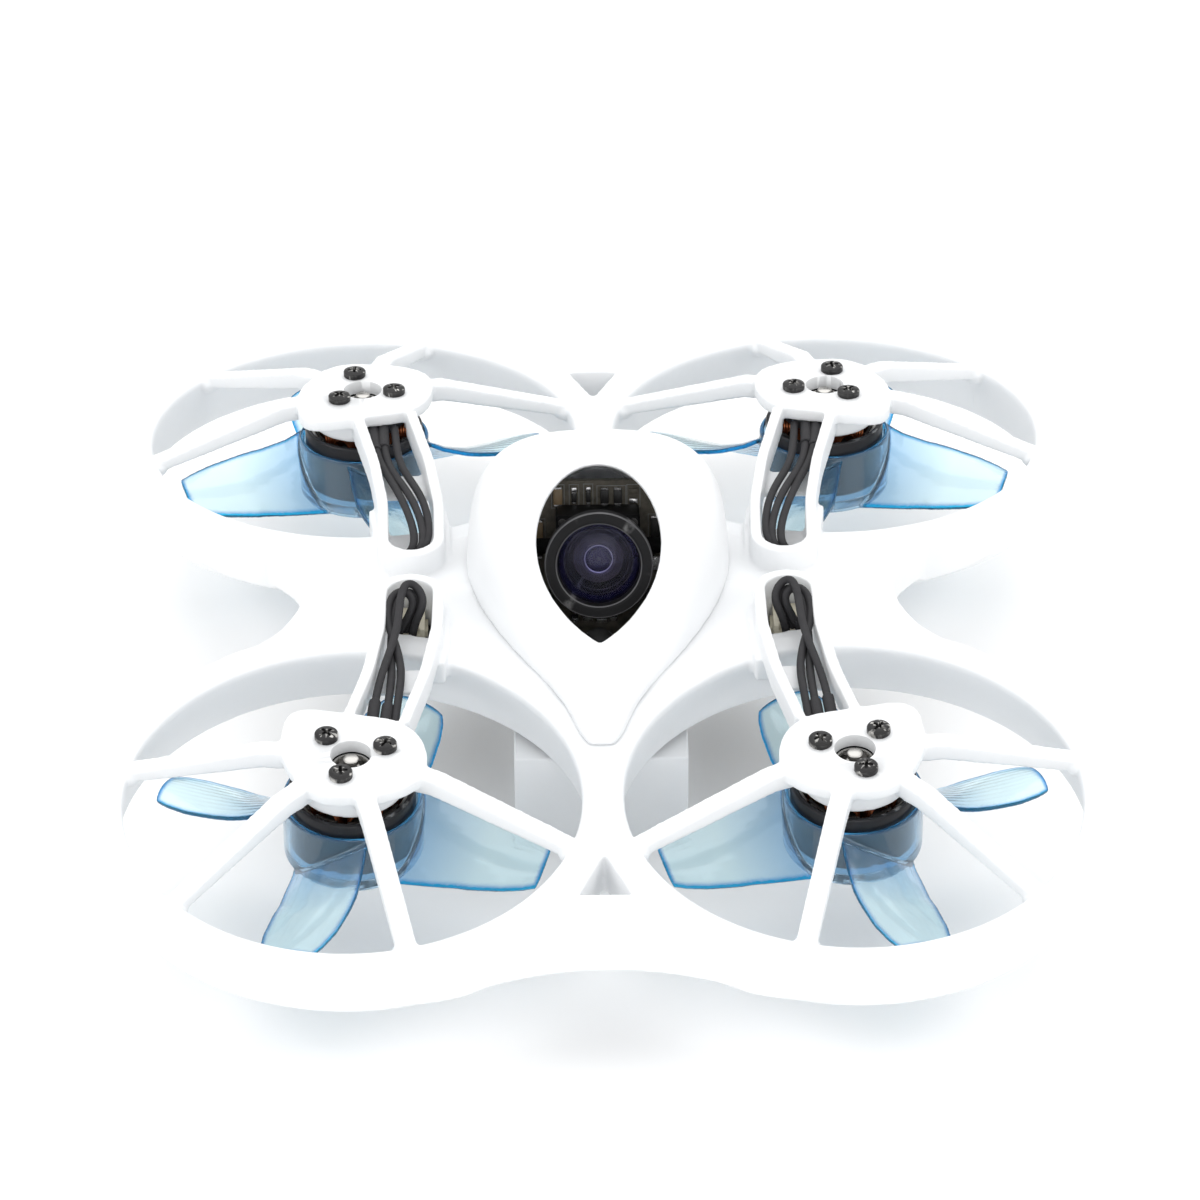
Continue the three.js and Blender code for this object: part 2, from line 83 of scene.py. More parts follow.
def editAll(obj):
    pick(obj)
    bpy.ops.object.mode_set(mode="EDIT")
    bpy.ops.mesh.select_all(action="SELECT")


def closeEdit():
    bpy.ops.object.mode_set(mode="OBJECT")
    return bpy.context.object


def named(obj, name):
    obj.name = name
    obj.data.name = name
    return obj


def join(objects, name):
    pick(*objects)
    if len(objects) > 1:
        bpy.ops.object.join()
    return named(bpy.context.object, name)


def duplicate(obj, name):
    pick(obj)
    bpy.ops.object.duplicate(linked=False)
    return named(bpy.context.object, name)


def mend(obj, distance=0.00001):
    editAll(obj)
    bpy.ops.mesh.remove_doubles(threshold=distance)
    bpy.ops.mesh.select_all(action="SELECT")
    bpy.ops.mesh.normals_make_consistent(inside=False)
    return closeEdit()


def moved(obj, matrix):
    obj.data.transform(matrix)
    if matrix.determinant() < 0:
        editAll(obj)
        bpy.ops.mesh.flip_normals()
        closeEdit()
    return obj


def applyAll(obj):
    pick(obj)
    for modifier in list(obj.modifiers):
        bpy.ops.object.modifier_apply(modifier=modifier.name)
    return obj


def bevelled(obj, width, segments=2, angle=35):
    bevel = obj.modifiers.new("bevel", "BEVEL")
    bevel.width = width
    bevel.segments = segments
    bevel.limit_method = "ANGLE"
    bevel.angle_limit = math.radians(angle)
    applyAll(obj)
    pick(obj)
    bpy.ops.object.shade_smooth_by_angle(angle=math.radians(40))
    return obj


def rounded(obj, angle=40):
    pick(obj)
    bpy.ops.object.shade_smooth_by_angle(angle=math.radians(angle))
    return obj


def box(low, high, name="box"):
    clearSelection()
    bpy.ops.mesh.primitive_cube_add(size=1)
    obj = named(bpy.context.object, name)
    size = [(b - a) * mm for a, b in zip(low, high)]
    middle = [(b + a) / 2 * mm for a, b in zip(low, high)]
    obj.data.transform(Matrix.Translation(middle) @ Matrix.Diagonal((*size, 1)))
    return obj


def rod(x, y, bottom, top, radius, sides=48, name="rod"):
    clearSelection()
    bpy.ops.mesh.primitive_cylinder_add(vertices=sides, radius=radius * mm, depth=(top - bottom) * mm)
    obj = named(bpy.context.object, name)
    obj.data.transform(Matrix.Translation((x * mm, y * mm, (top + bottom) / 2 * mm)))
    return obj


def ball(place, radii, name="ball", segments=24):
    clearSelection()
    bpy.ops.mesh.primitive_uv_sphere_add(segments=segments, ring_count=segments // 2, radius=1)
    obj = named(bpy.context.object, name)
    scale = Matrix.Diagonal([r * mm for r in radii] + [1])
    obj.data.transform(Matrix.Translation([p * mm for p in place]) @ scale)
    return obj


def spun(profile, name, steps=96, start=0, sweep=360):
    # a closed [radius, height] outline turned about Z; spin runs clockwise, so it begins at the far end
    clearSelection()
    bpy.ops.mesh.primitive_circle_add(vertices=len(profile), radius=1)
    obj = named(bpy.context.object, name)
    for vertex, (radius, height) in zip(obj.data.vertices, profile):
        vertex.co = (radius * mm, 0, height * mm)
    obj.data.transform(Matrix.Rotation(math.radians(start + sweep), 4, "Z"))
    editAll(obj)
    if sweep < 360:
        bpy.ops.mesh.edge_face_add()
        bpy.ops.mesh.select_all(action="SELECT")
    bpy.ops.mesh.spin(steps=steps, angle=math.radians(sweep), center=(0, 0, 0), axis=(0, 0, 1))
    closeEdit()
    return mend(obj)


def plate(points, bottom, top, name):
    # a flat outline filled and raised
    clearSelection()
    bpy.ops.mesh.primitive_circle_add(vertices=len(points), radius=1)
    obj = named(bpy.context.object, name)
    for vertex, (x, y) in zip(obj.data.vertices, points):
        vertex.co = (x * mm, y * mm, bottom * mm)
    editAll(obj)
    bpy.ops.mesh.edge_face_add()
    bpy.ops.mesh.extrude_region_move(TRANSFORM_OT_translate={"value": (0, 0, (top - bottom) * mm)})
    closeEdit()
    return mend(obj)


def cut(obj, cutter, solver="EXACT"):
    boolean = obj.modifiers.new("cut", "BOOLEAN")
    boolean.operation = "DIFFERENCE"
    boolean.object = cutter
    boolean.solver = solver
    applyAll(obj)
    bpy.data.objects.remove(cutter)
    return obj


def softened(obj, voxel, passes, share=1.0):
    # one continuous moulded skin with small fillets
    pick(obj)
    obj.data.remesh_voxel_size = voxel * mm
    bpy.ops.object.voxel_remesh()
    smooth = obj.modifiers.new("smooth", "SMOOTH")
    smooth.factor = 0.5
    smooth.iterations = passes
    if share < 1:
        thin = obj.modifiers.new("thin", "DECIMATE")
        thin.ratio = share
    applyAll(obj)
    pick(obj)
    bpy.ops.object.shade_smooth()
    return obj


def cadCopy(name, newName):
    obj = duplicate(frame["nodes"][name], newName)
    obj.parent = None
    obj.matrix_world = Matrix.Identity(4)
    obj.hide_render = False
    obj.data.materials.clear()
    return mend(obj, 0.000001)


def finishPiece(obj, body, material, slot, *replaced):
    if material is not None:
        obj.data.materials.clear()
        obj.data.materials.append(material)
    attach(obj, body)
    if replaced:
        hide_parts(*replaced)
    return obj


cameraSetup = {"distance": 0.6366, "elevation": 33.72, "turn": -0.63, "roll": -0.31,
               "lens": 187.8, "shiftX": 0.0013, "shiftY": 0.0052}
lightSetup = {
    "overhead": {"place": (0.0, 0.35, 0.75), "size": 1.0, "power": 4.1},
    "leftSoft": {"place": (-0.6, -0.25, 0.4), "size": 0.5, "power": 1.6},
    "rightSoft": {"place": (0.6, -0.2, 0.4), "size": 0.5, "power": 1.35},
    "frontSoft": {"place": (0.05, -0.7, 0.3), "size": 0.4, "power": 0.9},
    "world": {"strength": 0.8},
}


def makeCamera(setup):
    target = Vector((0, 0, lipHeight))
    elevation = math.radians(setup["elevation"])
    away = Vector((0, -math.cos(elevation), math.sin(elevation)))
    away.rotate(Matrix.Rotation(math.radians(setup["turn"]), 3, "Z"))
    clearSelection()
    bpy.ops.object.camera_add()
    camera = bpy.context.object
    camera.name = "shotCamera"
    facing = (-away).to_track_quat("-Z", "Y").to_matrix().to_4x4()
    roll = Matrix.Rotation(math.radians(setup["roll"]), 4, "Z")
    camera.matrix_world = Matrix.Translation(target + away * setup["distance"]) @ facing @ roll
    camera.data.lens = setup["lens"]
    camera.data.sensor_width = 36
    camera.data.shift_x = setup["shiftX"]
    camera.data.shift_y = setup["shiftY"]
    camera.data.clip_start = 0.01
    bpy.context.scene.camera = camera


def makeLights(setup):
    for name, values in setup.items():
        if name == "world":
            continue
        clearSelection()
        bpy.ops.object.light_add(type="AREA", location=values["place"])
        lamp = bpy.context.object
        lamp.name = name
        lamp.data.size = values["size"]
        lamp.data.energy = values["power"]
        aim = Vector((0, 0, 0.015)) - Vector(values["place"])
        lamp.rotation_euler = aim.to_track_quat("-Z", "Y").to_euler()
    bpy.context.scene.view_settings.view_transform = "Standard"
    world = bpy.data.worlds.new("studio")
    world.use_nodes = True
    background = world.node_tree.nodes["Background"]
    background.inputs["Color"].default_value = (1, 1, 1, 1)
    background.inputs["Strength"].default_value = setup["world"]["strength"]
    bpy.context.scene.world = world


makeCamera(cameraSetup)
makeLights(lightSetup)
print("camera and lights placed")


def newGroup(name, inputs, outputs):
    group = bpy.data.node_groups.new(name, "ShaderNodeTree")
    for socket, kind, value in inputs:
        made = group.interface.new_socket(name=socket, in_out="INPUT", socket_type=kind)
        made.default_value = value
    for socket, kind in outputs:
        group.interface.new_socket(name=socket, in_out="OUTPUT", socket_type=kind)
    return group, group.nodes.new("NodeGroupInput"), group.nodes.new("NodeGroupOutput")


def node(tree, kind, **values):
    made = tree.nodes.new(kind)
    for key, value in values.items():
        if hasattr(made, key):
            setattr(made, key, value)
        else:
            made.inputs[key.replace("_", " ")].default_value = value
    return made


def surfaceGroup():
    # fine grain for bump, broad mottling for colour and gloss
    group, enter, leave = newGroup(
        "moulded_surface",
        [("Grain Scale", "NodeSocketFloat", 2500.0), ("Mottle Scale", "NodeSocketFloat", 90.0),
         ("Tone", "NodeSocketColor", (1, 1, 1, 1)), ("Shade", "NodeSocketColor", (0.9, 0.9, 0.9, 1)),
         ("Gloss Low", "NodeSocketFloat", 0.35), ("Gloss High", "NodeSocketFloat", 0.5)],
        [("Color", "NodeSocketColor"), ("Roughness", "NodeSocketFloat"), ("Height", "NodeSocketFloat")])
    place = node(group, "ShaderNodeTexCoord")
    grain = node(group, "ShaderNodeTexNoise", Detail=3.0)
    mottle = node(group, "ShaderNodeTexNoise", Detail=5.0, Roughness=0.6)
    colour = node(group, "ShaderNodeMix", data_type="RGBA")
    gloss = node(group, "ShaderNodeMapRange")
    link = group.links.new
    link(place.outputs["Object"], grain.inputs["Vector"])
    link(place.outputs["Object"], mottle.inputs["Vector"])
    link(enter.outputs["Grain Scale"], grain.inputs["Scale"])
    link(enter.outputs["Mottle Scale"], mottle.inputs["Scale"])
    link(mottle.outputs["Fac"], colour.inputs["Factor"])
    link(enter.outputs["Tone"], colour.inputs[6])
    link(enter.outputs["Shade"], colour.inputs[7])
    link(mottle.outputs["Fac"], gloss.inputs["Value"])
    link(enter.outputs["Gloss Low"], gloss.inputs["To Min"])
    link(enter.outputs["Gloss High"], gloss.inputs["To Max"])
    link(colour.outputs[2], leave.inputs["Color"])
    link(gloss.outputs["Result"], leave.inputs["Roughness"])
    link(grain.outputs["Fac"], leave.inputs["Height"])
    return group


def wearAndHighlightGroup():
    # lighter edges where the mesh is pointy, broken up by noise: partly rubbed wear, partly a painted highlight along
    # the corners
    group, enter, leave = newGroup(
        "edge_wear_and_highlight",
        [("Surface", "NodeSocketColor", (0, 0, 0, 1)), ("Edge Tone", "NodeSocketColor", (1, 1, 1, 1)),
         ("Start", "NodeSocketFloat", 0.53), ("End", "NodeSocketFloat", 0.6)],
        [("Color", "NodeSocketColor"), ("Mask", "NodeSocketFloat")])
    shape = node(group, "ShaderNodeNewGeometry")
    place = node(group, "ShaderNodeTexCoord")
    patch = node(group, "ShaderNodeTexNoise", Scale=1400.0, Detail=3.0)
    edge = node(group, "ShaderNodeMapRange")
    both = node(group, "ShaderNodeMath", operation="MULTIPLY")
    broken = node(group, "ShaderNodeMapRange", From_Min=0.35, From_Max=0.62)
    colour = node(group, "ShaderNodeMix", data_type="RGBA")
    link = group.links.new
    link(shape.outputs["Pointiness"], edge.inputs["Value"])
    link(enter.outputs["Start"], edge.inputs["From Min"])
    link(enter.outputs["End"], edge.inputs["From Max"])
    link(place.outputs["Object"], patch.inputs["Vector"])
    link(patch.outputs["Fac"], broken.inputs["Value"])
    link(edge.outputs["Result"], both.inputs[0])
    link(broken.outputs["Result"], both.inputs[1])
    link(both.outputs["Value"], colour.inputs["Factor"])
    link(enter.outputs["Surface"], colour.inputs[6])
    link(enter.outputs["Edge Tone"], colour.inputs[7])
    link(colour.outputs[2], leave.inputs["Color"])
    link(both.outputs["Value"], leave.inputs["Mask"])
    return group


mouldedSurface = surfaceGroup()
wearAndHighlightNodes = wearAndHighlightGroup()


def shaded(name, tone, shade, gloss, grain=2500.0, mottle=90.0, bump=0.1, distance=0.00002, wearAndHighlight=None, **fixed):
    material = bpy.data.materials.new(name)
    material.use_nodes = True
    tree = material.node_tree
    shader = tree.nodes["Principled BSDF"]
    surface = tree.nodes.new("ShaderNodeGroup")
    surface.node_tree = mouldedSurface
    surface.inputs["Grain Scale"].default_value = grain
    surface.inputs["Mottle Scale"].default_value = mottle
    surface.inputs["Tone"].default_value = (*tone, 1)
    surface.inputs["Shade"].default_value = (*shade, 1)
    surface.inputs["Gloss Low"].default_value = gloss[0]
    surface.inputs["Gloss High"].default_value = gloss[1]
    relief = node(tree, "ShaderNodeBump", Strength=bump, Distance=distance)
    link = tree.links.new
    link(surface.outputs["Height"], relief.inputs["Height"])
    link(relief.outputs["Normal"], shader.inputs["Normal"])
    link(surface.outputs["Roughness"], shader.inputs["Roughness"])
    # lighter colour on pointy edges: partly rubbed wear, partly a painted highlight along the corners
    if wearAndHighlight:
        wornAndLit = tree.nodes.new("ShaderNodeGroup")
        wornAndLit.node_tree = wearAndHighlightNodes
        wornAndLit.inputs["Edge Tone"].default_value = (*wearAndHighlight["bare"], 1)
        wornAndLit.inputs["Start"].default_value = wearAndHighlight.get("start", 0.53)
        wornAndLit.inputs["End"].default_value = wearAndHighlight.get("end", 0.6)
        link(surface.outputs["Color"], wornAndLit.inputs["Surface"])
        link(wornAndLit.outputs["Color"], shader.inputs["Base Color"])
        if wearAndHighlight.get("metal"):
            link(wornAndLit.outputs["Mask"], shader.inputs["Metallic"])
    else:
        link(surface.outputs["Color"], shader.inputs["Base Color"])
    for key, value in fixed.items():
        shader.inputs[key.replace("_", " ")].default_value = value
    return material


def tintedPlastic(name, clear, deep, gloss):
    # clear tinted plastic, deeper in colour where the rim attribute says the light runs along the wall
    material = shaded(name, clear, clear, gloss, grain=1200.0, mottle=140.0, bump=0.05,
                      Transmission_Weight=0.92, IOR=1.46)
    tree = material.node_tree
    shader = tree.nodes["Principled BSDF"]
    rim = node(tree, "ShaderNodeAttribute", attribute_name="rim")
    mix = node(tree, "ShaderNodeMix", data_type="RGBA")
    surface = [n for n in tree.nodes if n.type == "GROUP"][0]
    tree.links.new(rim.outputs["Fac"], mix.inputs["Factor"])
    tree.links.new(surface.outputs["Color"], mix.inputs[6])
    mix.inputs[7].default_value = (*deep, 1)
    tree.links.new(mix.outputs[2], shader.inputs["Base Color"])
    return material


finishes = {
    "whiteNylon": shaded("whiteNylon", (0.85, 0.86, 0.87), (0.79, 0.805, 0.82), (0.36, 0.5),
                         grain=1800.0, mottle=60.0, bump=0.12, Subsurface_Weight=0.2,
                         Subsurface_Scale=0.003, Subsurface_Radius=(1.0, 1.0, 1.0),
                         Specular_IOR_Level=0.45),
    "blueClear": tintedPlastic("blueClear", (0.74, 0.935, 0.985), (0.0, 0.26, 0.66), (0.05, 0.12)),
    "blackAnodised": shaded("blackAnodised", (0.018, 0.018, 0.02), (0.03, 0.03, 0.034), (0.28, 0.42),
                            grain=3000.0, wearAndHighlight={"bare": (0.3, 0.3, 0.3), "start": 0.54, "end": 0.62},
                            Metallic=0.7),
    "darkCore": shaded("darkCore", (0.03, 0.028, 0.027), (0.06, 0.055, 0.05), (0.45, 0.6), Metallic=0.5),
    "copperWire": shaded("copperWire", (0.34, 0.11, 0.04), (0.2, 0.06, 0.025), (0.25, 0.4), grain=5000.0,
                         Metallic=0.85),
    "groundSteel": shaded("groundSteel", (0.55, 0.54, 0.52), (0.4, 0.39, 0.37), (0.2, 0.36), grain=4000.0,
                          bump=0.2, Metallic=1.0),
    # the lighter edge tone paints the bright highlight ring on the screw heads' top edge, partly rubbed wear
    "blackOxide": shaded("blackOxide", (0.012, 0.012, 0.013), (0.028, 0.027, 0.027), (0.3, 0.46),
                         grain=4000.0, wearAndHighlight={"bare": (0.5, 0.49, 0.47), "start": 0.535, "end": 0.6},
                         Metallic=0.3, Specular_IOR_Level=0.3),
    "blackSilicone": shaded("blackSilicone", (0.022, 0.022, 0.024), (0.045, 0.044, 0.047), (0.62, 0.78),
                            grain=3800.0, mottle=900.0, bump=0.5, distance=0.00003,
                            Specular_IOR_Level=0.2),
    "creamNylon": shaded("creamNylon", (0.82, 0.78, 0.64), (0.74, 0.69, 0.54), (0.35, 0.5), bump=0.15),
    "blackMask": shaded("blackMask", (0.055, 0.051, 0.042), (0.32, 0.29, 0.235), (0.35, 0.5),
                        grain=1500.0, mottle=1300.0, bump=0.2, Specular_IOR_Level=0.25),
    # the lighter edge tone paints highlight lines along the housing's and barrel's sharp corners
    "satinBlack": shaded("satinBlack", (0.007, 0.007, 0.0075), (0.012, 0.012, 0.013), (0.42, 0.55),
                         wearAndHighlight={"bare": (0.1, 0.1, 0.1), "start": 0.56, "end": 0.68},
                         Specular_IOR_Level=0.1),
    "coatedGlass": shaded("coatedGlass", (0.5, 0.56, 0.85), (0.62, 0.56, 0.82), (0.02, 0.04),
                          grain=800.0, mottle=300.0, bump=0.01, Transmission_Weight=1.0, IOR=1.2,
                          Specular_IOR_Level=0.2),
    # pale grey for the thin rings on the lens barrel's corners: a painted highlight
    "paintedHighlightEdge": shaded("paintedHighlightEdge", (0.08, 0.08, 0.085), (0.035, 0.035, 0.037), (0.35, 0.5), grain=2500.0,
                       mottle=500.0),
    "bronzeRing": shaded("bronzeRing", (0.12, 0.108, 0.085), (0.07, 0.066, 0.06), (0.3, 0.42), grain=3000.0,
                         mottle=900.0, Specular_IOR_Level=0.3),
    "violetGlass": shaded("violetGlass", (0.038, 0.032, 0.05), (0.024, 0.024, 0.045), (0.12, 0.2), grain=900.0,
                          mottle=900.0, bump=0.02, Specular_IOR_Level=0.3),
    "greyRubber": shaded("greyRubber", (0.2, 0.2, 0.2), (0.14, 0.14, 0.14), (0.55, 0.7), mottle=700.0,
                         bump=0.3),
    "coatedInner": shaded("coatedInner", (0.006, 0.009, 0.03), (0.014, 0.01, 0.032), (0.14, 0.24),
                          grain=2600.0, mottle=1500.0, bump=0.12, Specular_IOR_Level=0.3),
    "shrinkWrap": shaded("shrinkWrap", (0.02, 0.022, 0.028), (0.035, 0.037, 0.045), (0.12, 0.26),
                         grain=500.0, mottle=120.0, bump=0.35, distance=0.00006),
    "amberTape": shaded("amberTape", (0.6, 0.28, 0.05), (0.48, 0.2, 0.03), (0.15, 0.3), mottle=300.0),
    "tanCeramic": shaded("tanCeramic", (0.42, 0.3, 0.17), (0.33, 0.23, 0.13), (0.35, 0.5), mottle=900.0),
    "solder": shaded("solder", (0.62, 0.62, 0.62), (0.45, 0.45, 0.46), (0.2, 0.34), mottle=1500.0,
                     Metallic=1.0),
    "greyPrint": shaded("greyPrint", (0.4, 0.41, 0.4), (0.3, 0.31, 0.3), (0.5, 0.6), mottle=900.0),
    "chipResin": shaded("chipResin", (0.02, 0.02, 0.021), (0.035, 0.035, 0.035), (0.4, 0.55), mottle=700.0,
                        bump=0.3),
    "paleFloor": shaded("paleFloor", (0.93, 0.93, 0.93), (0.9, 0.9, 0.9), (0.5, 0.6), grain=400.0,
                        mottle=5.0, bump=0.02),
}
print("materials ready")


def makeFloor():
    clearSelection()
    bpy.ops.mesh.primitive_plane_add(size=6)
    floor = named(bpy.context.object, "floor")
    floor.data.materials.append(finishes["paleFloor"])


makeFloor()


# the moulded frame: rings, hubs, spokes, channels and deck grown into one skin
ductValues = {
    "profile": [(22.32, -0.7), (22.42, -0.25), (22.75, 0), (24.75, 0), (25.15, -0.25), (25.28, -0.8),
                (25.15, -1.8), (24.25, -6.0), (24.0, -6.28), (23.4, -6.28), (23.15, -6.0), (22.5, -2.0)],
    "beadFrom": -66, "beadSweep": 182, "beadTop": 25.8, "beadFoot": 25.55, "beadInner": (24.4, 23.9),
    "beadHigh": -0.1, "beadLow": -5.35, "taper": 24, "ringTop": 25.25, "ringFoot": 24.3,
    "foot": (22.2, -0.9, (1.0, 1.5, 0.9)),
}
hubValues = {
    "outline": [(-6.3, 7.6), (5.9, 4.9), (8.0, -1.2), (5.6, -5.6), (-3.4, -6.6), (-7.2, 0.2)],
    "corner": 3.2, "top": 5.5, "under": 4.1, "eyeRadius": 2.02,
    "boss": [(4.75, 1.9), (5.2, 1.85), (5.42, 2.1), (5.42, 4.4), (4.75, 4.4)],
    "bossFrom": 98, "bossSweep": 288,
    "spokeAngles": [167.4, 221.5, 284.2, 341.0], "spokeWidth": 1.95,
    "spokeSide": [(4.8, 5.42), (4.8, 3.4), (8.6, 3.1), (22.5, -1.25), (22.5, 0.08), (9.0, 4.95)],
}
channelValues = {
    "line": [(1.9, 3.2), (2.4, 5.6), (4.25, 14.1), (5.3, 22.0), (5.4, 28.3)],
    "half": 2.3, "rail": 1.1, "bottom": 2.5, "top": 5.45, "from": 4.9, "slope": 0.11, "level": 6.0,
    "floorFrom": 13.3, "floorEnd": 17.4, "floorThick": 0.5,
    "collarHalf": 4.0, "collarFrom": 19.0, "collarLow": -0.1, "collarHigh": 2.6,
}
webValues = {"lip": 23.9, "low": -4.6, "high": -0.02, "noseEnd": -15.1, "deckEnd": 14.0, "steps": 16,
             "notch": [(-2.75, -15.1), (-0.2, -9.0), (0.2, -9.0), (2.75, -15.1)]}
deckMouth = ((-4.5, -12.6, 16.5), (4.5, -8.0, 21))    # lets the view under the lens reach the board
frameSkin = {"voxel": 0.27, "quickVoxel": 0.5, "passes": 4, "share": 0.36}


def softCorners(points, radius, steps=8):
    outline = []
    for i, corner in enumerate(points):
        corner = Vector(corner)
        enter = corner + (Vector(points[i - 1]) - corner).normalized() * radius
        leave = corner + (Vector(points[(i + 1) % len(points)]) - corner).normalized() * radius
        for step in range(steps + 1):
            t = step / steps
            outline.append(tuple(enter * (1 - t) ** 2 + corner * 2 * t * (1 - t) + leave * t * t))
    return outline


def channelMiddle(y):
    line = channelValues["line"]
    for (x0, y0), (x1, y1) in zip(line, line[1:]):
        if y <= y1:
            return x0 + (x1 - x0) * (y - y0) / (y1 - y0)
    return line[-1][0]


def channelSide(half, start, end, side, steps=14):
    rows = [start + (end - start) * i / steps for i in range(steps + 1)]
    return [(channelMiddle(y) + side * half, y) for y in rows]


def channelCap(half, steps=12):
    x, y = channelValues["line"][-1]
    angles = [math.pi * (1 - i / steps) for i in range(1, steps)]
    return [(x + half * math.cos(a), y + half * math.sin(a)) for a in angles]


def channelPiece(outline, bottom, top, name):
    piece = plate(outline, bottom, top, name)
    lean = Matrix.Identity(4)
    lean[2][1] = -channelValues["slope"]
    lean[2][3] = channelValues["slope"] * channelValues["level"] * mm
    piece.data.transform(lean)
    return piece


def channelWall(outer, inner, start, bottom, top, name):
    end = channelValues["line"][-1][1]
    outside = channelSide(outer, start, end, -1) + channelCap(outer)
    outside += channelSide(outer, start, end, 1)[::-1]
    inside = channelSide(inner, start, end, -1) + channelCap(inner)
    inside += channelSide(inner, start, end, 1)[::-1]
    return channelPiece(outside + inside[::-1], bottom, top, name)


def channelFloor():
    values = channelValues
    half, start, end = values["half"] + 0.4, values["floorFrom"], values["floorEnd"]
    outline = channelSide(half, start, end, -1) + channelSide(half, start, end, 1)[::-1]
    return channelPiece(outline, values["bottom"], values["bottom"] + values["floorThick"], "floor")


def hubPieces():
    values = hubValues
    channel = channelValues
    pieces = [plate(softCorners(values["outline"], values["corner"]), values["under"], values["top"], "hub")]
    pieces.append(spun(values["boss"], "boss", 72, values["bossFrom"], values["bossSweep"]))
    for angle in values["spokeAngles"]:
        half = values["spokeWidth"] / 2
        bar = plate(values["spokeSide"], -half, half, "spoke")
        upright = Matrix.Rotation(math.radians(90), 4, "X")
        bar.data.transform(Matrix.Rotation(math.radians(angle), 4, "Z") @ upright)
        pieces.append(bar)
    outer = channel["half"] + channel["rail"]
    pieces.append(channelWall(outer, channel["half"], channel["from"], channel["bottom"], channel["top"], "rails"))
    pieces.append(channelWall(channel["collarHalf"], channel["half"], channel["collarFrom"],
                              channel["collarLow"], channel["collarHigh"], "collar"))
    pieces.append(channelFloor())
    return pieces


def bead():
    # thickens the ring where deck and bridges join it, and fades out past them
    values = ductValues
    high, low = values["beadHigh"], values["beadLow"]
    outline = [(values["beadInner"][0], high), (values["beadTop"], high), (values["beadFoot"], low),
               (values["beadInner"][1], low)]
    start, sweep, taper = values["beadFrom"], values["beadSweep"], values["taper"]
    obj = spun(outline, "bead", 150, start - taper, sweep + 2 * taper)
    for vertex in obj.data.vertices:
        x, y, z = vertex.co / mm
        radius = math.hypot(x, y)
        if radius < values["ringFoot"] + 0.3:
            continue
        turn = (math.degrees(math.atan2(y, x)) - start + 90) % 360 - 90
        past = max(-turn, turn - sweep, 0) / taper
        thin = values["ringTop"] if z > (high + low) / 2 else values["ringFoot"]
        share = 1 + (thin / radius - 1) * past
        vertex.co.x *= share
        vertex.co.y *= share
    return obj


def podShell():
    values = ductValues
    pieces = [spun(values["profile"], "ring", steps=128), bead()] + hubPieces()
    reach, level, radii = values["foot"]
    for angle in hubValues["spokeAngles"]:
        foot = ball((reach, 0, level), radii, "foot")
        foot.data.transform(Matrix.Rotation(math.radians(angle), 4, "Z"))
        pieces.append(foot)
    return join(pieces, "podShell")


def midMatrix(sign):
    # the lip plane of the front or rear pods, centred between them
    turn = podMatrix("front_right" if sign < 0 else "rear_right").copy()
    turn.translation.x = 0
    return turn


def lipWeb(sign):
    # fills the narrow space between the two lips, level with them
    values = webValues
    rows = [values["noseEnd"] + (values["deckEnd"] - values["noseEnd"]) * i / values["steps"]
            for i in range(values["steps"] + 1)]
    reach = spins["front_left"]["pos_m"][0] / mm
    side = [(reach - math.sqrt(values["lip"] ** 2 - v * v), v) for v in rows]
    outline = side + [(-x, v) for x, v in reversed(side)] + values["notch"]
    return moved(plate(outline, values["low"], values["high"], "web"), midMatrix(sign))


def makeFrame():
    names = ["centre_deck", "nose_bridge", "tail_bridge"]
    pieces = [cadCopy(name, f"shell_{name}") for name in names]
    cut(pieces[0], box(*deckMouth))
    pod = podShell()
    pieces += [moved(duplicate(pod, f"pod_{corner}"), podMatrix(corner)) for corner in corners]
    bpy.data.objects.remove(pod)
    pieces += [lipWeb(-1), lipWeb(1)]
    shell = join(pieces, "moulded_frame")
    voxel = frameSkin["voxel"]
    softened(shell, voxel, frameSkin["passes"], frameSkin["share"])
    eyes = [moved(rod(0, 0, hubValues["under"] - 0.3, hubValues["top"] + 0.6, hubValues["eyeRadius"]),
                  podMatrix(corner)) for corner in corners]
    cut(shell, join(eyes, "eyes"), solver="MANIFOLD")
    rounded(shell, 50)
    print("frame skin", len(shell.data.polygons), "faces")
    replaced = names + [f"duct_ring_{corner}" for corner in corners]
    replaced += [f"hub_and_spokes_{corner}" for corner in corners]
    return finishPiece(shell, "airframe", finishes["whiteNylon"], "frame", *replaced)


makeFrame()
print("frame done")


def atCorners(source, name, body, slot, *nodes, only=""):
    # the pod piece is modelled once; every corner gets its own mirrored copy
    for corner in corners:
        if not corner.startswith(only):
            continue
        piece = moved(duplicate(source, f"{name}_{corner}"), podMatrix(corner))
        ride = f"rotor_{corner}" if body == "rotor" else body
        finishPiece(piece, ride, None, slot, *[f"{node}_{corner}" for node in nodes])
    bpy.data.objects.remove(source)


def coated(obj, finish):
    obj.data.materials.clear()
    obj.data.materials.append(finishes[finish])
    return obj


def turnedAbout(obj, angle, axis="Z"):
    obj.data.transform(Matrix.Rotation(math.radians(angle), 4, axis))
    return obj


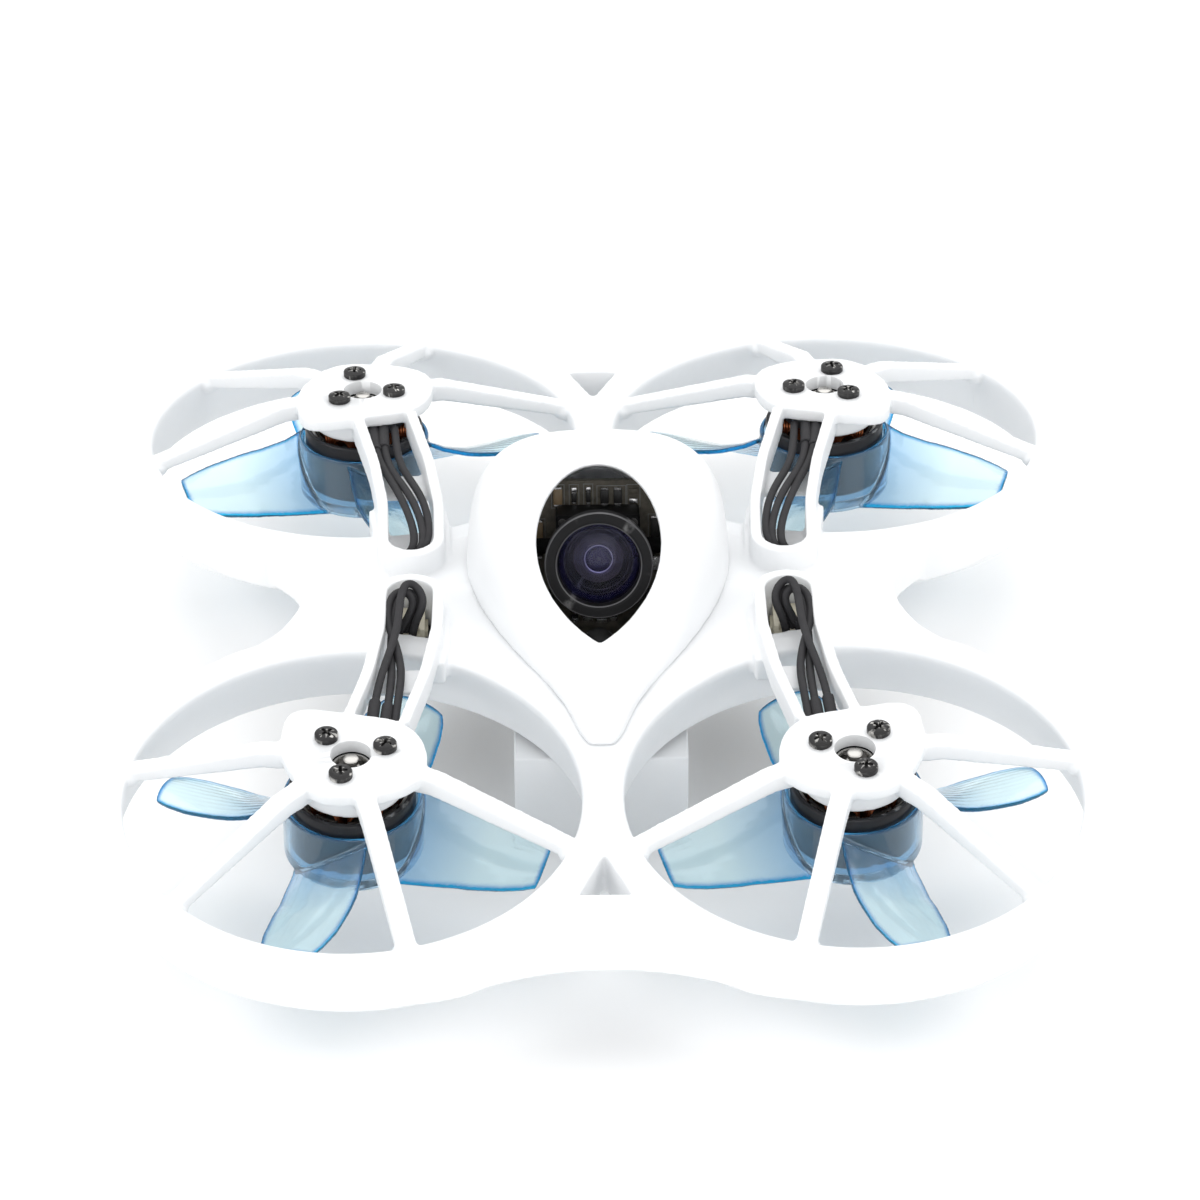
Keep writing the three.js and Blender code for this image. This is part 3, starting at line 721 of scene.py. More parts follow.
# propeller: a cup that hangs round the bell, four blades that climb its wall
propValues = {
    "cup": [(0.8, -6.5), (6.1, -6.5), (6.6, -6.35), (6.85, -5.9), (6.85, 0.1), (6.72, 0.3), (6.5, 0.3),
            (6.36, 0.1), (6.36, -5.2), (0.8, -5.2)],
    "start": 163.5, "tip": 20.0, "root": 6.45, "thick": 0.46, "alongRows": 26, "acrossRows": 10,
    "low": [(6.4, -6.3), (8, -6.15), (11, -5.85), (15, -5.3), (20, -4.5)],
    "high": [(6.4, 0.1), (7.2, -0.35), (8.5, -1.1), (11, -1.9), (15, -2.6), (20, -3.4)],
    "chord": [(6.4, 8.0), (7.5, 7.7), (10, 7.9), (13.5, 8.0), (16.5, 7.4), (18.5, 6.3), (20, 4.8)],
    "sweep": [(6.4, -0.5), (12, 0.0), (16, -0.2), (20, -0.6)], "camber": 0.55,
    "cupTint": 0.36, "rootTint": 0.5, "fadeLength": 7.0,
    "voxel": 0.14, "quickVoxel": 0.25, "passes": 3, "share": 0.4,
}


def along(rows, at):
    # reads a value from rows of (place, value)
    if at <= rows[0][0]:
        return rows[0][1]
    for (x0, y0), (x1, y1) in zip(rows, rows[1:]):
        if at <= x1:
            t = (at - x0) / (x1 - x0)
            return y0 + (y1 - y0) * t
    return rows[-1][1]


def bladePoint(radius, side):
    values = propValues
    half = along(values["chord"], radius) / 2
    low, high = along(values["low"], radius), along(values["high"], radius)
    y = side * half + along(values["sweep"], radius)
    x = math.sqrt(max(radius * radius - y * y, 1))
    z = (low + high) / 2 + side * (high - low) / 2 + values["camber"] * (1 - side * side)
    return x, y, z


def blade(angle):
    values = propValues
    across, rows = values["acrossRows"], values["alongRows"]
    clearSelection()
    bpy.ops.mesh.primitive_grid_add(x_subdivisions=across, y_subdivisions=rows, size=1)
    obj = named(bpy.context.object, "blade")
    for j in range(rows + 1):
        radius = values["root"] + (values["tip"] - 0.25 - values["root"]) * j / rows
        for i in range(across + 1):
            side = -1 + 2 * i / across
            trim = 0.35 * max(0.0, abs(side) - 0.7) * (j / rows) ** 6
            vertex = obj.data.vertices[j * (across + 1) + i]
            vertex.co = [value * mm for value in bladePoint(radius - trim, side)]
    wall = obj.modifiers.new("wall", "SOLIDIFY")
    wall.thickness = values["thick"] * mm
    wall.offset = 0
    applyAll(obj)
    mend(obj)
    return turnedAbout(obj, angle)


def rimAttribute(obj):
    # 1 where the wall is seen on its edge: round the blades, up their roots and round the cup
    values = propValues
    rim = obj.data.attributes.new("rim", "FLOAT", "POINT")
    cupOuter = values["cup"][3][0]
    cupTop = values["cup"][5][1]
    for vertex, cell in zip(obj.data.vertices, rim.data):
        x, y, z = vertex.co / mm
        radius = math.hypot(x, y)
        if radius < cupOuter + 0.12:
            near = 1 - min(abs(z - cupTop) / 0.5, 1)
            foot = 1 - min(abs(z - values["cup"][0][1]) / 0.45, 1) if radius > 6 else 0
            cell.value = max(near, foot * 0.8, values["cupTint"])
            continue
        angle = (math.degrees(math.atan2(y, x)) - values["start"] + 45) % 90 - 45
        across = radius * math.sin(math.radians(angle)) - along(values["sweep"], radius)
        half = along(values["chord"], radius) / 2
        edge = max(0.0, min((abs(across) - half + 0.5) / 0.4, 1))
        tip = max(0.0, min((radius - values["tip"] + 0.75) / 0.35, 1))
        root = max(0.0, 1 - (radius - cupOuter) / 0.7)
        fade = values["rootTint"] * max(0.0, 1 - (radius - cupOuter) / values["fadeLength"])
        cell.value = max(edge, tip, root * 0.8, fade)


def makePropellers():
    values = propValues
    cup = spun(values["cup"], "cup", steps=96)
    blades = [blade(values["start"] + 90 * i) for i in range(4)]
    prop = join([cup] + blades, "prop")
    softened(prop, values["voxel"], values["passes"], values["share"])
    rimAttribute(prop)
    coated(prop, "blueClear")
    atCorners(prop, "clear_propeller", "rotor", "prop", "propeller")


makePropellers()
print("propellers done")


# motor: bell with magnets, shaft, stator with wound teeth on a bearing tube
motorValues = {
    "bell": [(0.82, -4.9), (5.3, -4.9), (5.9, -4.72), (6.15, -4.4), (6.2, -4.1), (6.2, 1.3), (6.12, 1.48),
             (5.72, 1.5), (5.6, 1.38), (5.6, -3.9), (0.82, -3.9)],
    "vents": 6, "ventRadius": 3.6, "magnets": 12, "magnet": (5.2, 5.62, -3.2, 1.15),
    "shaft": [(0, -6.1), (0.6, -6.1), (0.75, -5.95), (0.75, 4.2), (0.62, 4.25), (0.62, 4.4), (0.75, 4.45),
              (0.75, 4.9), (0.63, 5.0), (0, 5.0)],
    "clip": [(0.64, 4.25), (1.15, 4.25), (1.15, 4.38), (0.64, 4.38)],
    "flange": [(1.95, 2.0), (4.3, 2.0), (4.45, 2.15), (4.45, 3.6), (4.3, 3.78), (2.1, 3.78), (1.95, 3.6)],
    "race": [(1.66, 2.4), (1.95, 2.4), (1.97, 3.9), (1.9, 4.0), (1.74, 4.0), (1.66, 3.9)],
    "shield": [(1.05, 2.5), (1.66, 2.5), (1.66, 3.3), (1.05, 3.3)],
    "inner": [(0.88, 2.4), (1.08, 2.4), (1.08, 3.5), (0.88, 3.5)],
    "tube": [(0.95, -3.4), (1.7, -3.4), (1.7, 2.1), (0.95, 2.1)],
    "teeth": 9, "tooth": (1.6, 5.0, 0.55, 3.4), "coilFrom": 2.55, "coilTo": 4.45, "turns": 8,
}


def makeBell():
    values = motorValues
    bell = spun(values["bell"], "bell", steps=96)
    vents = [turnedAbout(rod(values["ventRadius"], 0, -5.4, -3.4, 1.05, 24), 360 / values["vents"] * i)
             for i in range(values["vents"])]
    cut(bell, join(vents, "vents"))
    coated(bevelled(bell, 0.08 * mm, 2, 40), "blackAnodised")
    inner, outer, low, high = values["magnet"]
    magnets = []
    for i in range(values["magnets"]):
        profile = [(inner, low), (outer, low), (outer, high), (inner, high)]
        magnets.append(spun(profile, "magnet", 6, 360 / values["magnets"] * i, 25))
    coated(bevelled(join(magnets, "magnets"), 0.06 * mm, 1), "groundSteel")
    atCorners(join([bell, bpy.data.objects["magnets"]], "bellPiece"), "bell_with_magnets", "rotor", "bell",
              "motor_bell")


def makeShaft():
    values = motorValues
    shaft = coated(rounded(spun(values["shaft"], "shaft", 48)), "groundSteel")
    clip = coated(rounded(spun(values["clip"], "clip", 40, 20, 300)), "darkCore")
    atCorners(join([shaft, clip], "shaftPiece"), "ground_shaft", "rotor", "steel", "motor_shaft")


def coilLoops():
    # one tooth's winding: flat loops side by side along the tooth
    values = motorValues
    loops = []
    for i in range(values["turns"]):
        t = i / (values["turns"] - 1)
        reach = values["coilFrom"] + (values["coilTo"] - values["coilFrom"]) * t
        clearSelection()
        bpy.ops.mesh.primitive_torus_add(major_segments=20, minor_segments=6, major_radius=mm,
                                         minor_radius=0.14 * mm)
        loop = named(bpy.context.object, "loop")
        bulge = 1 - 0.35 * (2 * t - 1) ** 2
        wide = (0.42 + 0.17 * reach) * (0.72 + 0.28 * bulge)
        tall = 1.95 + 0.3 * bulge
        for vertex in loop.data.vertices:
            x, y, z = vertex.co / mm
            ring = math.hypot(x, y)
            squarish = (1 + 0.22 * abs(math.sin(2 * math.atan2(y, x))) ** 2) * (ring if ring else 1)
            angle = math.atan2(y, x)
            across = math.cos(angle) * (wide + (squarish - 1) * 0.6)
            upright = math.sin(angle) * (tall + (squarish - 1) * 0.6)
            vertex.co = ((reach + z) * mm, across * mm, (upright - 0.62) * mm)
        loops.append(loop)
    return coated(rounded(join(loops, "coil")), "copperWire")


def makeStator():
    values = motorValues
    flange = coated(bevelled(spun(values["flange"], "flange", 64), 0.05 * mm, 1), "blackAnodised")
    race = coated(rounded(spun(values["race"], "race", 64)), "groundSteel")
    shield = coated(rounded(spun(values["shield"], "shield", 48)), "darkCore")
    inner = coated(rounded(spun(values["inner"], "inner", 48)), "groundSteel")
    tube = coated(rounded(spun(values["tube"], "tube", 40)), "darkCore")
    near, far, half, depth = values["tooth"]
    tooth = box((near, -half, -3.0), (far, half, -3.0 + depth), "tooth")
    shoe = spun([(4.75, -2.9), (5.1, -2.9), (5.1, 1.0), (4.75, 1.0)], "shoe", 8, -14, 28)
    tooth = coated(bevelled(join([tooth, shoe], "tooth"), 0.07 * mm, 1), "darkCore")
    arm = join([tooth, coilLoops()], "arm")
    arms = [turnedAbout(duplicate(arm, f"arm{i}"), 360 / values["teeth"] * i) for i in range(values["teeth"])]
    bpy.data.objects.remove(arm)
    stator = join([flange, race, shield, inner, tube] + arms, "stator")
    atCorners(stator, "wound_stator", "airframe", "stator", "motor_base")


makeBell()
makeShaft()
makeStator()
print("motors done")


# pan head screws with a cross recess
screwValues = {
    "circle": 3.42, "angles": [-105.5, 14.5, 134.5], "slotTurn": [20, 48, -5],
    "profile": [(0, 1.6), (0.4, 1.6), (0.5, 1.75), (0.5, 5.5), (1.1, 5.51), (1.165, 5.58), (1.165, 6.05),
                (1.12, 6.13), (1.0, 6.16), (0.94, 6.2), (0.6, 6.3), (0, 6.35)],
    "arm": 0.68, "half": 0.15, "depth": 5.75,
}


def makeScrews():
    values = screwValues
    for number, (angle, turn) in enumerate(zip(values["angles"], values["slotTurn"]), 1):
        head = spun(values["profile"], "screw", 56)
        arm, half, depth = values["arm"], values["half"], values["depth"]
        slots = [box((-arm, -half, depth), (arm, half, 7)), box((-half, -arm, depth), (half, arm, 7))]
        slots.append(rod(0, 0, depth, 7, 0.27, 20))
        cut(head, slots[0])
        cut(head, slots[1])
        cut(head, slots[2])
        bevelled(head, 0.03 * mm, 2, 30)
        coated(turnedAbout(head, turn), "blackOxide")
        place = (values["circle"] * mm, 0, 0)
        head.data.transform(Matrix.Rotation(math.radians(angle), 4, "Z") @ Matrix.Translation(place))
        atCorners(head, f"pan_screw_{number}", "airframe", "screw", f"motor_screw_{number}")


makeScrews()
print("screws done")


# three wires from each motor, crossing in the channel and looping over into the plug
leadValues = {
    "routes": [
        [(1.8, 5.2, 3.5), (2.0, 8.3, 3.6), (2.3, 12.1, 3.4), (3.0, 16.0, 3.4), (3.7, 18.8, 3.6),
         (4.2, 22.0, 3.4), (4.4, 25.3, 3.4), (4.6, 27.7, 3.7), (5.2, 28.8, 3.8), (6.1, 28.6, 3.4),
         (6.8, 27.6, 2.8), (6.6, 26.4, 2.0), (5.9, 25.9, 1.0), (5.6, 26.1, -0.9)],
        [(3.1, 5.2, 3.5), (3.3, 8.3, 3.5), (3.6, 12.1, 3.2), (3.75, 16.4, 2.7), (3.5, 20.6, 2.4),
         (3.8, 25.0, 2.4), (4.1, 27.3, 2.7), (4.9, 28.5, 2.9), (5.9, 28.4, 2.6), (6.4, 27.6, 1.9),
         (5.6, 27.0, 1.0), (4.9, 26.7, -0.9)],
        [(4.1, 5.2, 3.5), (4.2, 8.3, 3.5), (4.6, 12.8, 3.2), (4.7, 16.2, 2.9), (4.1, 19.8, 3.0),
         (3.4, 22.6, 2.7), (3.15, 25.0, 2.7), (3.4, 27.2, 2.9), (4.2, 28.2, 3.1), (5.2, 28.1, 3.1),
         (6.0, 27.3, 2.3), (5.2, 26.3, 1.2), (4.2, 26.4, -0.9)],
    ],
    "rearRoutes": [
        [(1.1, 5.2, 3.5), (1.4, 9.0, 3.6), (1.9, 12.8, 3.4), (3.5, 17.5, 3.3), (4.6, 21.5, 3.2),
         (5.6, 26.2, 3.0), (5.8, 29.0, 2.6), (5.3, 29.6, 1.8), (4.6, 28.4, 0.6), (4.4, 27.6, -0.9)],
        [(2.2, 5.2, 3.5), (2.3, 9.0, 3.6), (2.7, 13.4, 3.4), (4.5, 18.0, 3.4), (5.7, 21.9, 3.4),
         (6.6, 26.4, 3.1), (6.7, 29.2, 2.5), (5.9, 29.5, 1.6), (5.1, 28.2, 0.5), (5.0, 27.4, -0.9)],
        [(3.4, 5.2, 3.5), (3.6, 9.0, 3.6), (4.0, 13.4, 3.4), (5.5, 17.5, 3.4), (6.7, 21.7, 3.4),
         (7.2, 25.6, 3.1), (7.2, 28.4, 2.6), (6.5, 29.5, 2.0), (5.3, 28.9, 1.2), (4.2, 27.6, 0.2),
         (4.0, 27.0, -0.9)],
    ],
    "radius": 0.41, "sleeves": [0, 1], "sleeveRadius": 0.61, "sleeveFrom": 5.2, "sleeveTo": [10.3, 9.8],
}


def wire(points, radius, name, resolution=6):
    clearSelection()
    bpy.ops.curve.primitive_nurbs_path_add()
    curve = named(bpy.context.object, name)
    spline = curve.data.splines[0]
    spline.points.add(len(points) - len(spline.points))
    for cell, place in zip(spline.points, points):
        cell.co = (*[value * mm for value in place], 1)
    spline.order_u = 4
    spline.use_endpoint_u = True
    curve.data.resolution_u = resolution
    curve.data.bevel_depth = radius * mm
    curve.data.bevel_resolution = 3
    curve.data.use_fill_caps = True
    curve.data.dimensions = "3D"
    pick(curve)
    bpy.ops.object.convert(target="MESH")
    return rounded(mend(bpy.context.object), 60)


def makeLeads(routes, end):
    values = leadValues
    wires = []
    for number, route in enumerate(routes):
        wires.append(wire(route, values["radius"], "wire"))
        if number in values["sleeves"]:
            reach = values["sleeveTo"][number] - values["sleeveFrom"]
            rows = [values["sleeveFrom"] + reach * i / 5 for i in range(6)]
            line = [(along([(y, x) for x, y, z in route[:4]], v), v, along([(y, z) for x, y, z in route[:4]], v))
                    for v in rows]
            wires.append(bevelled(wire(line, values["sleeveRadius"], "sleeve"), 0.14 * mm, 3, 60))
    lead = coated(join(wires, "lead"), "blackSilicone")
    atCorners(lead, "silicone_lead", "airframe", "wire", "motor_lead", only=end)


makeLeads(leadValues["routes"], "front")
makeLeads(leadValues["rearRoutes"], "rear")
print("leads done")


# plug on its header beside each end of the board
plugValues = {"grow": 0.25, "forward": 1.1, "ribs": [-1.0, 0.0, 1.0], "holeRadius": 0.46, "wireGap": 1.05}


def mirroredCorners(source, name, slot, node):
    for corner in corners:
        signX, signY = podSigns(corner)
        piece = moved(duplicate(source, f"{name}_{corner}"), Matrix.Diagonal((signX, signY, 1, 1)))
        finishPiece(piece, "airframe", None, slot, f"{node}_{corner}")
    bpy.data.objects.remove(source)


def makePlugs():
    values = plugValues
    low, high = [[value / mm for value in corner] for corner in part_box("plug_front_right")]
    low[0] -= values["grow"]
    high[0] += values["grow"]
    low[1] -= values["forward"]
    body = box(low, high, "plugBody")
    middleX = (low[0] + high[0]) / 2
    for step in (-1, 0, 1):
        hole = rod(middleX + step * values["wireGap"], low[1] + 1.05, high[2] - 0.7, high[2] + 0.5,
                   values["holeRadius"], 20)
        cut(body, hole)
    cut(body, box((middleX - 1.5, low[1] - 1, high[2] - 0.55), (middleX + 1.5, low[1] + 0.35, high[2] + 1)))
    pieces = [bevelled(body, 0.14 * mm, 3, 35)]
    for rib in values["ribs"]:
        bar = box((middleX + rib - 0.18, low[1] - 0.16, low[2] + 0.2),
                  (middleX + rib + 0.18, low[1] + 0.1, high[2] - 0.7))
        pieces.append(bevelled(bar, 0.06 * mm, 2))
    tabs = box((low[0] - 0.3, low[1] + 1.2, low[2] + 0.3), (high[0] + 0.3, high[1] - 0.6, low[2] + 1.0))
    pieces.append(bevelled(tabs, 0.1 * mm, 2))
    mirroredCorners(coated(join(pieces, "plug"), "creamNylon"), "wire_plug", "connector", "plug")


def makeSockets():
    low, high = [[value / mm for value in corner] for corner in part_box("socket_front_right")]
    body = box(low, high, "socketBody")
    cut(body, box((low[0] + 0.5, low[1] + 0.45, low[2] + 0.7), (high[0] - 0.5, high[1] - 0.45, high[2] + 1)))
    body = coated(bevelled(body, 0.12 * mm, 2), "creamNylon")
    pins = []
    middleX = (low[0] + high[0]) / 2
    for step in (-1, 0, 1):
        x = middleX + step
        pins.append(box((x - 0.17, low[1] - 0.7, low[2] + 0.02), (x + 0.17, low[1] + 0.3, low[2] + 0.24)))
        pins.append(box((x - 0.14, low[1] + 1.5, low[2] + 0.5), (x + 0.14, low[1] + 1.8, high[2] - 0.1)))
    pins = coated(bevelled(join(pins, "pins"), 0.04 * mm, 1), "solder")
    mirroredCorners(join([body, pins], "socket"), "pin_header", "connector", "socket")


makePlugs()
makeSockets()
print("plugs done")


# canopy: one domed skin with a teardrop window for the lens
canopyValues = {
    # y, half width, height above the deck, from nose to tail
    "rows": [(-25.8, 0.9, 0.25), (-25, 2.0, 0.9), (-20, 3.3, 1.25), (-16, 5.4, 1.5), (-12.4, 7.8, 2.0), (-8, 10.2, 6.3),
             (-4, 12.0, 10.3), (0, 13.1, 14.4), (3, 13.4, 15.1), (6, 13.4, 14.8), (9, 13.0, 13.6),
             (12, 12.2, 11.8), (16, 9.8, 8.8), (20, 6.6, 5.4), (25, 2.4, 1.8),
             (25.9, 0.9, 0.4)],
    "across": 12, "power": 2 / 2.9, "wall": 1.0, "ridge": 2.9, "slope": math.tan(math.radians(5)),
    "windowLean": 47.4, "windowPlace": (0, -6.2, 10.5), "voxel": 0.22, "quickVoxel": 0.4, "passes": 6,
    "share": 0.6,
}


def bezier(start, first, second, end, steps):
    points = []
    for step in range(steps):
        t = step / steps
        a, b, c, d = (1 - t) ** 3, 3 * t * (1 - t) ** 2, 3 * t * t * (1 - t), t ** 3
        points.append(tuple(a * p + b * q + c * r + d * s for p, q, r, s in zip(start, first, second, end)))
    return points


def teardropOutline():
    right = bezier((0, -9.2), (2.0, -8.0), (6.25, -4.4), (6.25, 1.2), 16)
    right += bezier((6.25, 1.2), (6.25, 5.2), (3.6, 9.1), (0, 9.1), 14)
    left = [(-x, y) for x, y in reversed(right[1:])]
    return right + [(0, 9.1)] + left


def makeCanopy():
    values = canopyValues
    across = values["across"]
    clearSelection()
    bpy.ops.mesh.primitive_grid_add(x_subdivisions=across, y_subdivisions=len(values["rows"]) - 1, size=1)
    shell = named(bpy.context.object, "canopy_shell")
    for i, (y, half, height) in enumerate(values["rows"]):
        base = lipHeight / mm + values["ridge"] - values["slope"] * abs(y) + 0.1
        for j in range(across + 1):
            turn = math.pi * (1 - j / across)
            side = math.copysign(abs(math.cos(turn)) ** values["power"], math.cos(turn))
            rise = math.sin(turn) ** values["power"]
            vertex = shell.data.vertices[i * (across + 1) + j]
            vertex.co = (half * side * mm, y * mm, (base + height * rise) * mm)
    smooth = shell.modifiers.new("smooth", "SUBSURF")
    smooth.levels = smooth.render_levels = 3
    wall = shell.modifiers.new("wall", "SOLIDIFY")
    wall.thickness = values["wall"] * mm
    wall.offset = 1 if shell.data.polygons[0].normal.z < 0 else -1
    applyAll(shell)
    mend(shell)
    window = plate(teardropOutline(), -5, 6, "window")
    lean = Matrix.Rotation(math.radians(values["windowLean"]), 4, "X")
    place = [p * mm for p in values["windowPlace"]]
    place[2] += lipHeight
    window.data.transform(Matrix.Translation(place) @ lean)
    cut(shell, window)
    softened(shell, values["voxel"], values["passes"], values["share"])
    print("canopy skin", len(shell.data.polygons), "faces")
    return finishPiece(shell, "airframe", finishes["whiteNylon"], "canopy", "canopy")


makeCanopy()
print("canopy done")


# camera: lens barrel, coated glass, housing on its pivot pins, and the board behind it
cameraPivot = Vector([joint for joint in record["behaviour"]["joints"]
                      if joint["name"] == "camera_tilt"][0]["pos_m"])
cameraValues = {
    "tilt": 20.0, "pivotDepth": 9.0,
    "barrel": [(0, -7.2), (4.0, -7.2), (4.1, -7.1), (4.1, -2.0), (4.3, -1.75), (5.3, -1.65),
               (5.45, -1.5), (5.45, -0.22), (5.32, -0.04), (4.5, 0.0), (4.3, -0.12), (4.12, -0.9),
               (4.12, -1.5), (3.95, -1.6), (2.45, -3.5), (2.3, -4.2), (0, -4.2)],
    "cone": [(2.5, -3.45), (3.93, -1.62), (4.08, -1.62), (2.6, -3.6)],
    "steps": [[(3.35, -2.2), (3.45, -2.2), (3.45, -2.45), (3.35, -2.45)],
              [(3.0, -2.62), (3.08, -2.62), (3.08, -2.85), (3.0, -2.85)]],
    "collar": [(1.4, -3.05), (1.62, -3.0), (1.66, -3.12), (1.95, -3.2), (2.3, -3.45), (2.5, -3.55),
               (2.5, -3.9), (1.4, -3.9)],
    # edges: thin pale rings on the barrel's front corners, a painted highlight
    "edges": [[(5.3, -0.05), (5.34, -0.015), (5.46, -0.19), (5.46, -0.24)],
              [(4.22, -0.16), (4.28, -0.1), (4.34, -0.08), (4.3, -0.2)]],
    "brightRing": [(1.3, -2.98), (1.38, -2.96), (1.38, -3.3), (1.3, -3.3)],
    "eye": [(0, -2.95), (0.3, -2.96), (0.34, -2.86), (0.55, -2.9), (0.6, -3.0), (0.85, -3.02),
            (0.9, -2.92), (1.1, -2.98), (1.15, -3.1), (1.3, -3.14), (1.3, -3.6), (0, -3.6)],
    "pupil": [(0, -2.88), (0.16, -2.89), (0.18, -3.0), (0, -3.05)],
    "glassRadius": 4.1, "glassRim": -1.15, "glassFront": -0.35, "glassBack": -1.0,
    "blockLow": (-4.25, -4.25, -12.1), "blockHigh": (4.25, 3.6, -6.5), "pin": 0.8, "pinReach": 7.7,
    "screwPlaces": [(-3.6, -3.6), (3.6, -3.6), (-3.6, 2.95), (3.6, 2.95)],
    "board": (7.3, -5.3, 6.05, -12.25, -13.15),
}


def cameraMatrix():
    # modelled facing up, so the lens axis is turned forward and tilted
    tilt = Matrix.Rotation(math.radians(-cameraValues["tilt"]), 4, "X")
    back = tilt @ Vector((0, cameraValues["pivotDepth"] * mm, 0))
    facing = Matrix.Rotation(math.radians(90), 4, "X")
    return Matrix.Translation(cameraPivot - back) @ tilt @ facing


def placedCamera(obj, slot, node):
    return finishPiece(moved(obj, cameraMatrix()), "camera", None, slot, node)


def makeLens():
    values = cameraValues
    parts = [coated(rounded(spun(values["barrel"], "barrel", 128), 30), "satinBlack")]
    parts.append(coated(rounded(spun(values["cone"], "cone", 96)), "coatedInner"))
    for step in values["steps"]:
        parts.append(coated(rounded(spun(step, "step", 96)), "satinBlack"))
    # thin pale rings on the barrel's corners, a painted highlight
    for edge in values["edges"]:
        parts.append(coated(rounded(spun(edge, "edge", 128)), "paintedHighlightEdge"))
    parts.append(coated(rounded(spun(values["collar"], "collar", 80)), "bronzeRing"))
    parts.append(coated(rounded(spun(values["brightRing"], "brightRing", 80)), "groundSteel"))
    parts.append(coated(rounded(spun(values["eye"], "eye", 64)), "violetGlass"))
    parts.append(coated(rounded(spun(values["pupil"], "pupil", 24)), "chipResin"))
    placedCamera(join(parts, "lens_with_rings"), "camera", "lens_barrel")


def makeGlass():
    values = cameraValues
    edge = values["glassRadius"]
    steps = 10
    front = []
    back = []
    for i in range(steps + 1):
        radius = edge * i / steps
        share = 1 - (radius / edge) ** 2
        front.append((radius, values["glassRim"] + (values["glassFront"] - values["glassRim"]) * share))
        back.append((radius, values["glassRim"] - 0.2 + (values["glassBack"] - values["glassRim"] + 0.2) * share))
    glass = rounded(spun(front + back[::-1], "glass", 96), 50)
    placedCamera(coated(glass, "coatedGlass"), "lens", "lens_glass")


def makeHousing():
    values = cameraValues
    face = values["blockHigh"][2]
    body = box(values["blockLow"], values["blockHigh"], "body")
    parts = [coated(bevelled(body, 0.3 * mm, 4), "satinBlack")]
    for x, y in values["screwPlaces"]:
        head = rod(x, y, face - 0.3, face + 0.2, 0.42, 24, "cornerScrew")
        parts.append(coated(bevelled(head, 0.07 * mm, 2), "blackOxide"))
    pin = rod(0, 0, -values["pinReach"], values["pinReach"], values["pin"], 32, "pin")
    turn = Matrix.Translation((0, 0, -values["pivotDepth"] * mm)) @ Matrix.Rotation(math.radians(90), 4, "Y")
    pin.data.transform(turn)
    parts.append(coated(bevelled(pin, 0.12 * mm, 2), "satinBlack"))
    placedCamera(join(parts, "housing_on_pins"), "camera", "camera_housing")


# parts on the boards: x, y, half width, half length, height, finish
cameraParts = [
    (-4.0, 4.45, 0.46, 0.8, 0.6, "tanCeramic"), (-2.35, 5.1, 0.3, 0.26, 0.3, "solder"),
    (-2.35, 4.3, 0.27, 0.45, 0.35, "chipResin"), (-0.9, 5.15, 0.26, 0.24, 0.3, "solder"),
    (-0.9, 4.3, 0.24, 0.5, 0.3, "chipResin"), (0.75, 4.4, 0.42, 0.7, 0.4, "chipResin"),
    (2.1, 4.4, 0.42, 0.7, 0.4, "chipResin"), (3.7, 4.9, 0.5, 0.3, 0.3, "blackMask"),
    (3.7, 3.9, 0.45, 0.26, 0.3, "solder"), (5.9, 0.8, 0.5, 1.4, 0.8, "chipResin"),
    (-6.0, 0.9, 0.45, 0.9, 0.5, "tanCeramic"), (-6.0, -1.2, 0.4, 0.6, 0.5, "chipResin"),
    (5.9, -2.6, 0.5, 0.7, 0.5, "solder"),
]
cameraPrint = [(-4.0, 4.4, 0.68, 1.25), (-2.35, 4.45, 0.52, 1.2), (-0.9, 4.35, 0.5, 1.35),
               (1.45, 4.4, 1.5, 1.1), (3.7, 4.4, 0.7, 1.2), (-6.0, 0.9, 0.7, 1.2), (5.9, 0.8, 0.75, 1.7)]


def printedFrame(x, y, halfX, halfY, level, line=0.07):
    # a printed outline standing a hair proud of the mask
    outer = box((x - halfX, y - halfY, level - 0.03), (x + halfX, y + halfY, level + 0.035), "print")
    hole = box((x - halfX + line, y - halfY + line, level - 1), (x + halfX - line, y + halfY - line, level + 1))
    return coated(cut(outer, hole), "greyPrint")


def mountedParts(rows, level):
    made = []
    for x, y, halfX, halfY, tall, finish in rows:
        chip = box((x - halfX, y - halfY, level - 0.05), (x + halfX, y + halfY, level + tall), "chip")
        made.append(coated(bevelled(chip, 0.07 * mm, 2), finish))
        if finish in ("tanCeramic", "chipResin"):
            for end in (-1, 1):
                low = y + end * (halfY + 0.08) - 0.12
                cap = box((x - halfX * 0.9, low, level - 0.05), (x + halfX * 0.9, low + 0.24, level + tall * 0.85))
                made.append(coated(bevelled(cap, 0.05 * mm, 1), "solder"))
    return made


def makeCameraBoard():
    values = cameraValues
    halfX, low, high, front, back = values["board"]
    outline = softCorners([(-halfX, low), (-halfX, high), (halfX, high), (halfX, low)][::-1], 0.9, 6)
    board = coated(bevelled(plate(outline, back, front, "board"), 0.07 * mm, 1), "blackMask")
    parts = [board] + mountedParts(cameraParts, front)
    parts += [printedFrame(*row, front) for row in cameraPrint]
    placedCamera(join(parts, "populated_board"), "board", "camera_board")


makeLens()
makeGlass()
makeHousing()
makeCameraBoard()
print("camera done")


